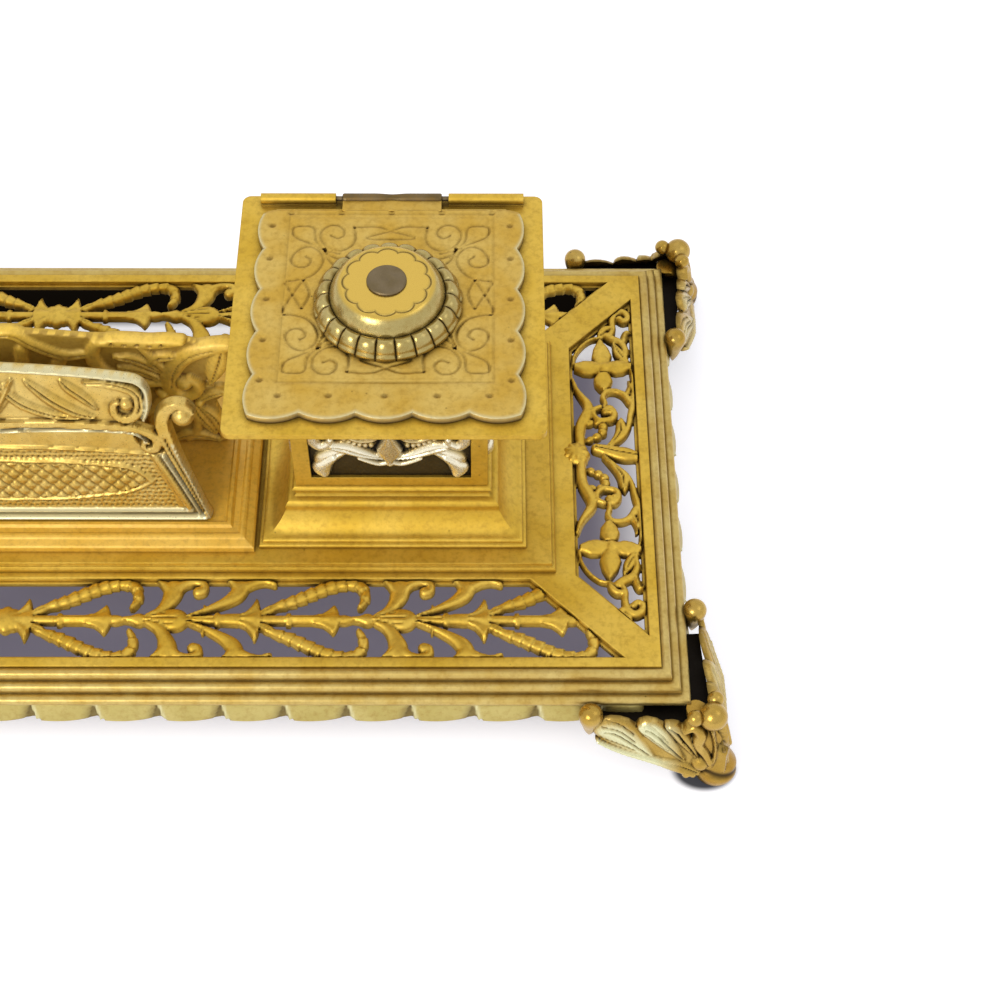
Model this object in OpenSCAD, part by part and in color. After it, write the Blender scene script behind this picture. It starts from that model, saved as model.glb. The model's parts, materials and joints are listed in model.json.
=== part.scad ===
// Desk inkstand in cast and stamped brass: a pierced base on four leaf feet,
// two square inkwells with hinged lids and a letter rack between them.
// Millimetres. The origin is on the table, under the middle of the base; the front faces -Y.

/* [Base] */
// Width of the base over its lowest reed
base_w = 313; // [290:1:330]
// Depth of the base over its lowest reed
base_d = 130.8; // [126:0.2:140]
// Height of the flat rim above the table
rim_h = 25; // [23:0.5:32]
// Thickness of the base plate
base_t = 3; // [2.5:0.1:4]
// Width of the flat rim outside the pierced windows
rim_w = 2.6; // [2:0.1:5]
// Width of one of the three stepped reeds
reed_w = 2.2; // [1.8:0.1:2.6]
// Drop from one reed to the next
reed_h = 2.2; // [1.8:0.1:2.6]
// Depth of the long windows, front and back
window_d = 21; // [19:0.5:24]
// Width of the short windows at the two ends
window_w = 16.2; // [15:0.2:18]
// Width of the bars that cross the corners
bar_w = 8.3; // [7:0.1:10]

/* [Pierced panels] */
// Thickness of the pierced panels
fret_t = 2.2; // [1.6:0.1:2.6]
// How far the pierced panels lie below the rim
fret_sink = 0.4; // [0.2:0.1:0.4]
// Width of the thin edge that carries the scrolls
fret_edge = 1; // [0.7:0.1:1.4]
// Length of one repeat of the long scroll pattern
repeat_l = 52.5; // [48:0.5:56]

/* [Apron and feet] */
// Width of one scallop of the apron
scallop_w = 14.33; // [12:0.01:18]
// Drop of the scallops below the lowest reed
scallop_drop = 5; // [4:0.1:7]
// Thickness of the apron
apron_t = 1.4; // [1:0.1:2]
// Reach of a foot's leaf wing from the corner to its ball
wing_l = 24; // [20:0.5:30]
// How far a toe stands out from the corner, each way
toe_out = 6.5; // [4:0.5:8]
// Radius of a toe
toe_r = 5; // [4:0.1:6]
// Diameter of the screws that hold the feet
foot_screw_d = 3; // [2.5:0.1:3.5]
// Outward tilt of the apron
apron_tilt = 6; // [0:1:8]

/* [Platform] */
// Strip of the base between the platform and an end window
strip_w = 4.7; // [4:0.1:8]
// Strip of the base between the platform and a long window
strip_d = 0.8; // [0.4:0.1:2]
// Height of the platform above the rim
platform_h = 2.5; // [2:0.1:4]

/* [Inkwells] */
// Strip of the platform outside an inkwell's plinth
well_strip = 6.9; // [5:0.1:9]
// Distance of the inkwells behind the middle
well_y = 2.6; // [2:0.1:3]
// Width of the moulded plinth of an inkwell
plinth_w = 62.2; // [60:0.2:64]
// Height of the plinth
plinth_h = 12.8; // [11:0.1:15]
// Width of the inkwell body
body_w = 44.2; // [42:0.2:46]
// Height of the inkwell body
body_h = 31.4; // [28:0.2:36]
// Wall of the inkwell body
body_wall = 2.6; // [2.2:0.1:3]
// Width of the frame round a mask panel
panel_rim = 3.8; // [3.2:0.1:5]
// Depth of the recess that holds a mask panel
panel_deep = 1.2; // [1:0.1:1.4]
// Width of the square top plate
top_w = 69.4; // [67:0.2:72]
// Radius of the plate's corners
top_corner = 2; // [1:0.1:4]
// Thickness of the top plate
top_t = 1.6; // [1.4:0.1:2]
// Height of the cove under the top plate
neck_h = 3; // [2.5:0.1:4]
// Diameter of the round mouth
mouth_d = 30.4; // [27:0.2:32]
// Wall of the glass liner
liner_wall = 2.2; // [1.6:0.1:3]
// Depth of the glass liner below its flange
liner_deep = 28; // [20:0.5:29]

/* [Lids] */
// Width of a lid over its scalloped edge
lid_w = 60.6; // [59:0.2:62]
// Thickness of a lid
lid_t = 1.8; // [1.5:0.1:2.2]
// Depth of the scallops of a lid
lid_scallop = 1.6; // [1:0.1:1.8]
// Radius of the gadrooned ring on a lid
ring_r = 16.3; // [15:0.1:18]
// Radius of the dome inside that ring
dome_r = 12.2; // [11:0.1:13]
// Radius of the dome's flat top
crown_r = 9.7; // [9:0.1:10.5]
// Height of the dome above the lid
dome_h = 7.9; // [7:0.1:9]
// Number of gadroons round the ring
gadroons = 22; // [18:1:30]
// Diameter of the stud on top
stud_d = 8.8; // [7:0.1:10]
// Diameter of the hinge barrel
barrel_d = 2.5; // [2.4:0.1:2.8]
// Diameter of the hinge pin
pin_d = 1.2; // [1:0.1:1.3]
// Distance from the middle of an inkwell back to its hinge
hinge_back = 32.6; // [32.4:0.1:33]

/* [Letter rack] */
// Gap between the tray under the rack and the plinths beside it
tray_gap = 1.1; // [0.5:0.1:3]
// Strip of the platform in front of and behind that tray
tray_strip = 2.9; // [2:0.1:4]
// Height of that tray
tray_h = 2.4; // [2:0.1:3.5]
// Width of the tray beside the foot of the front plaque
plaque_side = 10; // [9:0.1:13]
// Height of the front plaque along its slope
plaque_h = 46; // [42:1:52]
// Lean of the front plaque
plaque_lean = 12; // [8:1:14]
// Thickness of the front plaque
plaque_t = 2.4; // [2:0.1:3]
// Distance of the plaque's foot in front of the middle of the tray
plaque_y = 23.6; // [22:0.1:24]
// Height of the scroll panel behind it
back_h = 41; // [36:1:46]
// Thickness of the scroll panel
back_t = 2.6; // [2:0.1:3.2]

/* [Clearances] */
// Gap round a pierced panel in its window
fret_gap = 0.05; // [0.02:0.01:0.1]
// Gap between a lid and the plate under it
lid_gap = 0.1; // [0.05:0.01:0.2]
// Gap round a hinge pin in the lid's knuckle
pin_gap = 0.05; // [0.03:0.01:0.08]
// Gap between hinge knuckles
knuckle_gap = 0.3; // [0.2:0.05:0.5]
// Gap round the glass liner
liner_gap = 0.1; // [0.05:0.01:0.2]
// Gap round a screw or a bolt in its hole
screw_gap = 0.05; // [0.03:0.01:0.1]

/* [Hidden] */

$fn = 48;
brass = "#c9a13a";
brass_pale = "#d2bd7e";
silvered = "#cfcab8";
steel = "#77706a";
glass = "#e3e6dc";

rim_hw = base_w / 2 - 3 * reed_w;
rim_hd = base_d / 2 - 3 * reed_w;
window_x = rim_hw - rim_w;
window_y = rim_hd - rim_w;
window_in_x = window_x - window_w;
window_in_y = window_y - window_d;
platform_w = 2 * (window_in_x - strip_w);
platform_d = 2 * (window_in_y - strip_d);
bar_half = bar_w / sqrt(2);
base_low = rim_h - 3 * reed_h;
floor_z = rim_h - base_t;
platform_z = rim_h + platform_h;
platform_y = 0.8;
well_x = platform_w / 2 - well_strip - plinth_w / 2;
tray_w = 2 * (well_x - plinth_w / 2 - tray_gap);
tray_d = platform_d - 2 * tray_strip;
plaque_w = tray_w - 2 * plaque_side;
body_z = platform_z + plinth_h;
neck_z = body_z + body_h;
plate_z = neck_z + neck_h;
plate_top = plate_z + top_t;
lid_z = plate_top + lid_gap;
lid_top = lid_z + lid_t;
barrel_r = barrel_d / 2;
hinge_z = plate_top + lid_gap + barrel_r;
lid_y = well_y - 1.4;
boss_y = well_y - 0.2;
lid_half = lid_w / 2;
ring_h = 4.2;
liner_r = mouth_d / 2 - liner_gap;
flange_r = mouth_d / 2 + 2;
tray_y = 2;
tray_z = platform_z + tray_h;
bolt_d = 4;
bolt_head = 1.6;
nut_h = 2.4;
far = 60;

// Points of a smooth curve through p, n steps for each stretch; p holds [x, y, half width]
function spline(a, b, c, d, t) =
    0.5 * (2 * b + (c - a) * t + (2 * a - 5 * b + 4 * c - d) * t * t + (3 * b - a - 3 * c + d) * t * t * t);
function smooth(p, n) = [
    for (i = [0:len(p) - 2]) for (j = [0:n - 1])
        spline(p[max(i - 1, 0)], p[i], p[i + 1], p[min(i + 2, len(p) - 1)], j / n),
    p[len(p) - 1]
];
function flat(v) = [v[0], v[1]];
function side_of(q, i) =
    let (d = flat(q[min(i + 1, len(q) - 1)]) - flat(q[max(i - 1, 0)])) [-d[1], d[0]] / norm(d);

// A scroll stroke of changing width, with a round end
module stroke(p, n = 3) {
    q = smooth(p, n);
    last = len(q) - 1;
    polygon(concat(
        [for (i = [0:last]) flat(q[i]) + side_of(q, i) * q[i][2]],
        [for (i = [last:-1:0]) flat(q[i]) - side_of(q, i) * q[i][2]]
    ));
    translate(flat(q[last])) circle(r = q[last][2], $fn = 16);
}

// The children in 2D, and again mirrored across y
module twice_y() {
    children();
    mirror([0, 1]) children();
}
module twice_x() {
    children();
    mirror([1, 0]) children();
}

// A block of width w and depth d whose edge is moulded alike on all four sides and mitred at the
// corners. The edge lists [distance in from the outside, height], from the bottom up.
function section(half, edge) = concat(
    [for (p = edge) [half - p[0], p[1]]],
    [for (i = [len(edge) - 1:-1:0]) [edge[i][0] - half, edge[i][1]]]
);
module moulded(w, d, edge) {
    intersection() {
        rotate([90, 0, 0]) linear_extrude(d + 1, center = true) polygon(section(w / 2, edge));
        rotate([90, 0, 90]) linear_extrude(w + 1, center = true) polygon(section(d / 2, edge));
    }
}
// A ring moulded on its outer and its inner edge; both edges are measured in from the same outside
module moulded_ring(w, d, outer, inner) {
    difference() {
        moulded(w, d, outer);
        moulded(w, d, inner);
    }
}

module rounded_square(w, r) {
    square([w - 2 * r, w], center = true);
    square([w, w - 2 * r], center = true);
    for (x = [-1, 1]) for (y = [-1, 1]) translate([x, y] * (w / 2 - r)) circle(r = r);
}

module block(w, d, h, z = 0) {
    translate([-w / 2, -d / 2, z]) cube([w, d, h]);
}

// The four windows of the base, in plan
module long_window(gap = 0) {
    w = window_x - bar_half;
    polygon([
        [-w + 2.4 * gap, -window_y + gap], [w - 2.4 * gap, -window_y + gap],
        [w - window_d - 0.4 * gap, -window_in_y - gap], [-w + window_d + 0.4 * gap, -window_in_y - gap]
    ]);
}
module short_window(gap = 0) {
    h = window_y - bar_half;
    polygon([
        [window_x - gap, -h + 2.4 * gap], [window_x - gap, h - 2.4 * gap],
        [window_in_x + gap, h - window_w - 0.4 * gap], [window_in_x + gap, -h + window_w + 0.4 * gap]
    ]);
}

module well_places() {
    for (s = [-1, 1]) translate([s * well_x, well_y]) children();
}

// Places under the corners where a foot's screw goes up into the base
foot_pad = 7;
foot_clear = 0.3;
foot_notch = 10.5;
screw_bite = 3;
screw_room = 0.2;
screw_cover = 0.5;
screw_pad = 9;
pad_t = 3;
module foot_places() {
    for (sx = [-1, 1]) for (sy = [-1, 1])
        translate([sx * (base_w / 2 - foot_pad), sy * (base_d / 2 - foot_pad)]) children();
}

// Edge of the three stepped reeds, from the lowest one up to the rim
bead = reed_w / 2;
reed_edge = concat(
    [[0, base_low]],
    [for (i = [2:-1:0]) each [
        for (a = [0:30:90])
            [(3 - i) * reed_w - bead - bead * cos(a), rim_h - i * reed_h - 0.9 + 0.5 * sin(a)]
    ]],
    [[3 * reed_w, rim_h - 0.4], [3 * reed_w, rim_h]]
);
// Edge of the hollow under the base
lip = 3;
hollow_edge = [
    [lip, base_low - 1], [lip, base_low],
    [3 * reed_w + 0.6, floor_z - 0.6], [3 * reed_w + rim_w, floor_z]
];

module base_frame() color(brass) {
    difference() {
        union() {
            difference() {
                moulded(base_w, base_d, reed_edge);
                moulded(base_w, base_d, hollow_edge);
            }
            translate([0, 0, base_low]) linear_extrude(screw_bite + screw_room + screw_cover)
                foot_places() square(screw_pad, center = true);
        }
        translate([0, 0, base_low - 1]) linear_extrude(2 * rim_h) {
            long_window();
            rotate(180) long_window();
            short_window();
            rotate(180) short_window();
            well_places() circle(d = bolt_d + 2 * screw_gap);
        }
        translate([0, 0, base_low - 1]) linear_extrude(screw_bite + 1 + screw_room) foot_places()
            circle(d = foot_screw_d + 2 * screw_gap);
    }
}

module platform() color(brass) translate([0, platform_y, rim_h]) {
    difference() {
        moulded(platform_w, platform_d, [[0, 0], [0, 1], [0.3, 1.6], [0.8, 1.6], [1, platform_h]]);
        translate([0, -platform_y, -1]) linear_extrude(platform_h + 2) well_places()
            circle(d = bolt_d + 2 * screw_gap);
    }
}

// One side of the apron: a row of n scallops, hung from the lowest reed
module scallop_row(n) {
    for (i = [0:n - 1]) translate([(i - (n - 1) / 2) * scallop_w, 0]) intersection() {
        translate([0, -scallop_drop + scallop_w * 0.53]) circle(r = scallop_w * 0.53, $fn = 40);
        translate([-scallop_w / 2, -scallop_drop]) square([scallop_w, scallop_drop + 1]);
    }
}
module apron_side(n, half, out) {
    difference() {
        translate([0, -out, base_low]) rotate([90 - apron_tilt, 0, 0]) linear_extrude(apron_t)
            intersection() {
                union() {
                    translate([-half, -1]) square([2 * half, 1.4]);
                    scallop_row(n);
                }
                translate([-half, -scallop_drop]) square([2 * half, scallop_drop + 0.4]);
            }
        translate([-far - half, -out - far, base_low]) cube([2 * (half + far), 2 * far, far]);
    }
}
module apron(angle) color(brass_pale) {
    long_n = 2 * floor((base_w / scallop_w - 1) / 2) + 1;
    short_n = 2 * floor((base_d / scallop_w - 1) / 2) + 1;
    out = 0.4 + apron_t;
    along = angle % 180 == 0;
    rotate(angle) apron_side(
        along ? long_n : short_n,
        (along ? base_w : base_d) / 2 - foot_notch,
        (along ? base_d : base_w) / 2 - out
    );
}

// Half of the long pattern, above its axis: u runs outward from the bud's foot
module repeat_half() {
    stroke([[0, 0, 0.9], [5, 0.6, 1.4], [9.4, 0.8, 2], [13.3, 0, 0.3]]);
    stroke([[9.6, 2.6, 0.9], [9.8, 6, 0.8], [12.6, 9.3, 0.9], [16.4, 8.6, 0.8], [15.6, 6.6, 0.9]]);
    stroke([[9.8, 6.4, 0.8], [7.6, 9, 0.8], [3.6, 9.9, 0.5]]);
    stroke([[15.8, 1.2, 0.5], [18.6, 3.6, 1], [23.4, 6.4, 1], [26.4, 9.3, 1], [31.6, 9.4, 0.6]]);
    stroke([[24.2, 7, 0.8], [22.4, 9, 0.8], [20.4, 9.6, 0.6]]);
}
module strand_half() {
    stroke([[30, 2, 0.9], [35, 3.6, 1.2], [40, 6, 1.3], [45, 8.8, 1.3], [49.5, 9.6, 1.2], [53, 7.6, 1.2],
            [52.4, 4, 1]]);
    stroke([[38, 1.2, 0.6], [43, 1.5, 1], [46.4, 4.2, 0.6]]);
}
module bell(u, l, mouth) {
    polygon([
        [u, 1], [u + 1.2, 2], [u + 2.2, 1.2], [u + l * 0.6, 1.5], [u + l * 0.85, mouth * 0.6],
        [u + l, mouth], [u + l * 0.95, mouth * 0.2], [u + l + 0.8, 0],
        [u + l * 0.95, -mouth * 0.2], [u + l, -mouth], [u + l * 0.85, -mouth * 0.6], [u + l * 0.6, -1.5],
        [u + 2.2, -1.2], [u + 1.2, -2], [u, -1]
    ]);
}
module strand_part() {
    twice_y() strand_half();
    bell(36.4, 11, 4);
    translate([30, -0.8]) square([7, 1.6]);
    translate([46, -0.6]) square([6.5, 1.2]);
    translate([49.9, 0]) circle(r = 1.4, $fn = 16);
}
module repeat_part() {
    twice_y() repeat_half();
    translate([12, -0.8]) square([9, 1.6]);
    bell(20, 9.6, 4.8);
    strand_part();
}
// The long pattern is drawn for a repeat of 52.5 in a window 21 deep, the short one for a width of 16.2
long_drawn = [52.5, 21];
short_drawn = 16.2;
module long_fret() {
    mid_y = -(window_y + window_in_y) / 2;
    first = 27.8 - long_drawn[0];
    intersection() {
        long_window(fret_gap);
        union() {
            difference() {
                long_window(fret_gap);
                offset(delta = -fret_edge) long_window(fret_gap);
            }
            offset(delta = 0.08) translate([0, mid_y])
            scale([repeat_l / long_drawn[0], window_d / long_drawn[1]]) twice_x() {
                circle(r = 3.6, $fn = 24);
                translate([first, 0]) {
                    translate([22, 0]) square([3, 3], center = true);
                    bell(24.6, 5.4, 4.8);
                    strand_part();
                }
                for (k = [1:2]) translate([first + k * long_drawn[0], 0]) repeat_part();
            }
        }
    }
}

// Half of the short pattern, from the head in the middle to the volute at the end of the window
module short_half() {
    stroke([[-6.4, 2.6, 1.3], [-4.6, 9, 1.1], [-2.4, 13.6, 1], [-4.8, 19, 1], [-2, 24, 1.1], [0, 27, 1]]);
    stroke([[-6, 6, 1.2], [0, 3.4, 1.1], [5.4, 6.2, 1.1], [6.4, 11, 1.1], [2.4, 13, 1.1], [2, 10, 1.3]]);
    stroke([[-1.2, 21.6, 0.7], [3.6, 20.4, 1], [6.8, 17.2, 1], [4.4, 15.4, 1.1]]);
    stroke([[6.8, 17.2, 0.9], [7.4, 21, 0.8], [7.2, 23.6, 0.5]]);
    for (a = [0:90:270]) translate([0, 27]) rotate(a + 6)
        polygon([[0.4, -0.9], [2.6, -2.2], [6.3, 0], [2.6, 2.2], [0.4, 0.9]]);
    translate([0, 27]) circle(r = 1.7, $fn = 20);
    stroke([[0, 27, 1], [0.6, 35, 1], [4.2, 39.4, 1.1], [7, 42.4, 1.1], [5.2, 45, 1.1], [4.4, 42.6, 1.2]]);
    stroke([[0.8, 36, 0.8], [-2.4, 35.6, 0.8], [-5, 33.6, 0.6]]);
    stroke([[3, 38.4, 0.8], [6.6, 36, 0.8], [7, 33.2, 0.7]]);
    stroke([[-4.4, 20, 0.8], [-7, 23, 0.8], [-7.6, 27, 0.5]]);
}
module short_fret() {
    mid = (window_x + window_in_x) / 2;
    intersection() {
        short_window(fret_gap);
        union() {
            difference() {
                short_window(fret_gap);
                offset(delta = -fret_edge) short_window(fret_gap);
            }
            offset(delta = 0.08) translate([mid, 0]) scale([window_w / short_drawn, window_in_y / 35.2]) {
                twice_y() short_half();
                translate([-8, -3.6]) square([6, 7.2]);
                polygon([[-3, -3], [2, -1.6], [8.1, -1.8], [8.1, 1.8], [2, 1.6], [-3, 3]]);
            }
        }
    }
}
module fret_plate() {
    translate([0, 0, rim_h - fret_sink - fret_t]) linear_extrude(fret_t) children();
}
module fret_front() color(brass) fret_plate() long_fret();
module fret_back() color(brass) mirror([0, 1, 0]) fret_plate() long_fret();

// Head of a grotesque on the end panels, raised over the scrolls
module fret_head() {
    translate([window_in_x + 3.4, 0, rim_h - fret_sink]) {
        sphere(r = 2.9, $fn = 32);
        translate([2.6, 0, 0.4]) sphere(r = 1.5, $fn = 24);
    }
}
module fret_right() color(brass) {
    fret_plate() short_fret();
    intersection() {
        fret_head();
        translate([window_in_x + fret_gap, -far, rim_h - fret_sink - fret_t / 2]) cube([far, 2 * far, far]);
    }
}
module fret_left() color(brass) mirror([1, 0, 0]) fret_right();

// A closed tube of rings: each ring is a list of points, all of the same count
module loft(rings) {
    m = len(rings[0]);
    n = len(rings);
    polyhedron(
        points = [for (r = rings) each r],
        faces = concat(
            [[for (j = [0:m - 1]) j]],
            [[for (j = [m - 1:-1:0]) (n - 1) * m + j]],
            [for (i = [0:n - 2]) for (j = [0:m - 1]) each [
                [i * m + j, (i + 1) * m + j, i * m + (j + 1) % m],
                [i * m + (j + 1) % m, (i + 1) * m + j, (i + 1) * m + (j + 1) % m]
            ]]
        )
    );
}

// The front right foot, with the corner of the lowest reed at the origin of x and y.
// Leg stations: outward place along the diagonal (each way), height, radius
leg_stations = [
    [-4, base_low, 4], [0, base_low - 1.8, 4.6], [3.6, base_low - 5, 4.8], [5.6, base_low - 9, 4.4],
    [5, 6.6, 3.8], [toe_out - 0.6, 4.2, toe_r * 0.86], [toe_out, 2, toe_r], [toe_out - 0.4, 0, toe_r * 0.88]
];
leg_rings = [
    for (s = leg_stations) [
        for (j = [0:11])
            [s[0] + s[2] * cos(30 * j), -s[0] - s[2] * sin(30 * j), s[1]]
    ]
];
// The stalk that rises from the leg to the ball at the corner: the same four numbers
stalk_stations = [[4.2, base_low + 1, 2], [4.6, base_low - 1, 2.4], [5.2, base_low - 5, 2.9], [5.6, 7, 2.9]];
stalk_rings = [
    for (s = stalk_stations) [
        for (j = [0:11])
            [s[0] + s[2] * cos(30 * j), -s[0] - s[2] * sin(30 * j), s[1]]
    ]
];
ball_r = 3.3;
tip_r = 2.7;
// Leaf wing: it starts inside the leg, runs back from the corner clear of the reeds and ends in a
// ball. The top edge has three lobes and the lower edge sweeps down to the toe.
wing_clear = 3;
wing_root = 5;
wing_steps = 24;
lobe_l = 5.8;
function wing_low(t) = 3.8 + 9.4 * pow(t, 0.8);
function wing_top(s, t) = rim_h - 6.2 + 1.3 * cos(360 * (s - 5.4) / lobe_l) - 3 * pow(t, 6);
wing_rings = [
    for (i = [0:wing_steps]) let (
        s = (wing_l + wing_root) * i / wing_steps - wing_root,
        t = max(s, 0) / wing_l,
        root = max(-s, 0) / wing_root,
        low = wing_low(t) + root,
        top = wing_top(s, t) - 2 * root,
        lean = 1.4 * (1 - t) * (1 - root),
        thick = (1.9 - 0.7 * t) * (1 - 0.3 * root)
    ) [
        for (j = [0:7]) [
            -s,
            -wing_clear - 4 * (1 - t) + 2.2 * root + lean * sin(45 * j) - thick * cos(45 * j),
            (top + low) / 2 + (top - low) / 2 * sin(45 * j)
        ]
    ]
];
module foot_wing() {
    loft(wing_rings);
    translate([-wing_l, -wing_clear, base_low + 0.4]) sphere(r = tip_r, $fn = 24);
    translate([-wing_l, -wing_clear, base_low + 0.4]) rotate([0, -18, 0]) translate([0, 0, -6.4])
        cylinder(r1 = 0.7, r2 = 2.2, h = 6, $fn = 16);
}
module foot_solid() {
    difference() {
        union() {
            loft(leg_rings);
            loft(stalk_rings);
            foot_wing();
            mirror([1, 1, 0]) foot_wing();
            translate([4.2, -4.2, base_low + 2]) sphere(r = ball_r, $fn = 32);
            translate([-foot_pad - 4.5, foot_pad - 4.5, base_low - pad_t]) cube([9, 9, pad_t]);
            translate([-4, 4, base_low - 4.6]) rotate(-45) translate([0, -4, 0]) cube([10, 8, 4.6]);
        }
        translate([-foot_pad, foot_pad, base_low - 6]) cylinder(d = foot_screw_d + 2 * screw_gap, h = 7);
        translate([-far, -foot_clear, base_low]) cube([far + foot_clear, far, far]);
    }
}
module foot(sx, sy) color(brass_pale) {
    mirror([sx < 0 ? 1 : 0, 0, 0]) mirror([0, sy > 0 ? 1 : 0, 0])
        translate([base_w / 2, -base_d / 2, 0]) foot_solid();
}
module foot_screw(sx, sy) color(steel) {
    translate([sx * (base_w / 2 - foot_pad), sy * (base_d / 2 - foot_pad), 0]) {
        translate([0, 0, base_low - pad_t]) cylinder(d = foot_screw_d, h = pad_t + screw_bite);
        translate([0, 0, base_low - pad_t - 2]) cylinder(d = 2 * foot_screw_d, h = 2);
    }
}

// Edge of an inkwell's plinth: two fillets, a cove up to the waist and a round under the body
cove_in = (plinth_w - body_w) / 2 - 0.4;
plinth_edge = concat(
    [[0, 0], [0, 1], [0.4, 1.2], [1, 1.2], [1, 2], [1.4, 2.2], [2.2, 2.2]],
    [for (a = [15:15:90]) [2.2 + (cove_in - 2.2) * sin(a), plinth_h - 4.6 - (plinth_h - 6.8) * cos(a)]],
    [[cove_in, plinth_h - 3.4]],
    [for (a = [-90:30:90]) [cove_in - 0.6 - 1.1 * cos(a), plinth_h - 1.9 + 1.5 * sin(a)]],
    [[cove_in - 0.2, plinth_h - 0.4], [cove_in - 0.2, plinth_h]]
);
module plinth() color(brass) translate([0, 0, platform_z]) {
    difference() {
        moulded(plinth_w, plinth_w, plinth_edge);
        block(body_w - 10, body_w - 10, plinth_h - 1, -1);
        cylinder(d = bolt_d + 2 * screw_gap, h = 3 * plinth_h, center = true);
    }
}

module body() color(brass) translate([0, 0, body_z]) {
    in_w = body_w - 2 * body_wall;
    pane_w = body_w - 2 * panel_rim;
    difference() {
        block(body_w, body_w, body_h);
        block(in_w, in_w, body_h, 2);
        cylinder(d = bolt_d + 2 * screw_gap, h = 5, center = true);
        for (a = [0:90:270]) rotate(a) translate([-pane_w / 2, -body_w / 2 - 1, 3])
            cube([pane_w, panel_deep + 1, body_h - 6]);
    }
}

// A foliate mask in low relief; x across, y up, from the middle of the panel
module mask_leaf() {
    stroke([[1.6, 5.4, 1.2], [5, 7.6, 1.5], [9.4, 6.4, 1.5], [13.2, 9, 1.6], [15.4, 12, 0.8]]);
    stroke([[2, 0.6, 1.2], [6.6, 2.2, 1.6], [10.8, 0.6, 1.6], [14.6, 2.8, 1.6], [16.4, 6, 0.8]]);
    stroke([[2, -4, 1.1], [6.4, -4.2, 1.5], [10.2, -7.4, 1.6], [14.4, -6, 1.5], [15.8, -2.8, 1.3]]);
    stroke([[1, -9.4, 1], [4.6, -10.8, 1.1], [9, -11.4, 1.1], [13.6, -10.8, 1]]);
}
module mask_panel() {
    pane_w = body_w - 2 * panel_rim;
    pane_h = body_h - 6;
    back = body_w / 2 - panel_deep;
    translate([0, -back, body_z + body_h / 2]) rotate([90, 0, 0]) {
        linear_extrude(0.5) square([pane_w, pane_h], center = true);
        linear_extrude(1.3) intersection() {
            offset(delta = 0.05) {
                twice_x() mask_leaf();
                scale([0.8, 1.1]) circle(r = 7, $fn = 24);
            }
            square([pane_w - 0.4, pane_h - 0.4], center = true);
        }
        intersection() {
            union() {
                translate([0, -3, 0.6]) sphere(r = 2.2, $fn = 24);
                for (s = [-1, 1]) translate([s * 4.6, -0.6, 0.9]) sphere(r = 1.3, $fn = 20);
            }
            translate([-pane_w / 2, -pane_h / 2, 0]) cube([pane_w, pane_h, 4]);
        }
    }
}

// The plate on top of an inkwell, with its cove, its mouth and the two outer hinge knuckles
knuckle_l = 17.3;
knuckle_x = lid_half - knuckle_l;
cove_out = 4.6;
module top_piece() color(brass) {
    difference() {
        union() {
            translate([0, 0, plate_z]) linear_extrude(top_t) rounded_square(top_w, top_corner);
            translate([0, 0, neck_z]) moulded(body_w + 2 * cove_out, body_w + 2 * cove_out,
                [for (a = [0:15:90]) [(cove_out - 0.6) * cos(a), neck_h * sin(a)]]);
            for (s = [-1, 1]) mirror([s < 0 ? 1 : 0, 0, 0]) {
                translate([knuckle_x, hinge_back - barrel_r, plate_top])
                    cube([knuckle_l, 2 * barrel_r, lid_gap + 0.4]);
                translate([knuckle_x, hinge_back, hinge_z]) rotate([0, 90, 0])
                    cylinder(r = barrel_r, h = knuckle_l);
            }
        }
        translate([0, 0, neck_z - 1]) cylinder(d = mouth_d, h = neck_h + top_t + 2, $fn = 96);
        translate([0, 0, plate_z]) cylinder(r = flange_r + liner_gap, h = top_t + 1, $fn = 96);
        translate([0, hinge_back, hinge_z]) rotate([0, 90, 0])
            cylinder(d = pin_d + 0.02, h = 2 * far, center = true);
    }
}

// A lid in plan: a square with five scallops on each side
module lid_outline() {
    lobe_w = lid_w / 5;
    lobe_r = (lobe_w * lobe_w / 4 + lid_scallop * lid_scallop) / (2 * lid_scallop);
    core = lid_w - 2 * lid_scallop;
    square(core, center = true);
    for (a = [0:90:270]) rotate(a) for (i = [-2:2]) intersection() {
        translate([i * lobe_w, lid_half - lobe_r]) circle(r = lobe_r, $fn = 96);
        translate([i * lobe_w - lobe_w / 2, 0]) square([lobe_w, lid_half + 1]);
    }
}
module lid() color(brass_pale) {
    tongue_y = lid_y - well_y + lid_half - lid_scallop - 1;
    difference() {
        union() {
            translate([0, lid_y - well_y, lid_z]) linear_extrude(lid_t) lid_outline();
            translate([-knuckle_x + knuckle_gap, tongue_y, lid_z])
                cube([2 * (knuckle_x - knuckle_gap), hinge_back - tongue_y, lid_t]);
            translate([-knuckle_x + knuckle_gap, hinge_back, hinge_z]) rotate([0, 90, 0])
                cylinder(r = barrel_r, h = 2 * (knuckle_x - knuckle_gap));
        }
        translate([0, hinge_back, hinge_z]) rotate([0, 90, 0])
            cylinder(d = pin_d + 2 * pin_gap, h = 2 * far, center = true);
        translate([0, boss_y - well_y, lid_z - 1]) cylinder(d = foot_screw_d + 2 * screw_gap, h = lid_t + 2);
        translate([0, boss_y - well_y, lid_top - 0.3]) linear_extrude(1) difference() {
            translate([0, 2.4]) square([47.8, 48.8], center = true);
            translate([0, 2.4]) square([46.6, 47.6], center = true);
        }
    }
}

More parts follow.
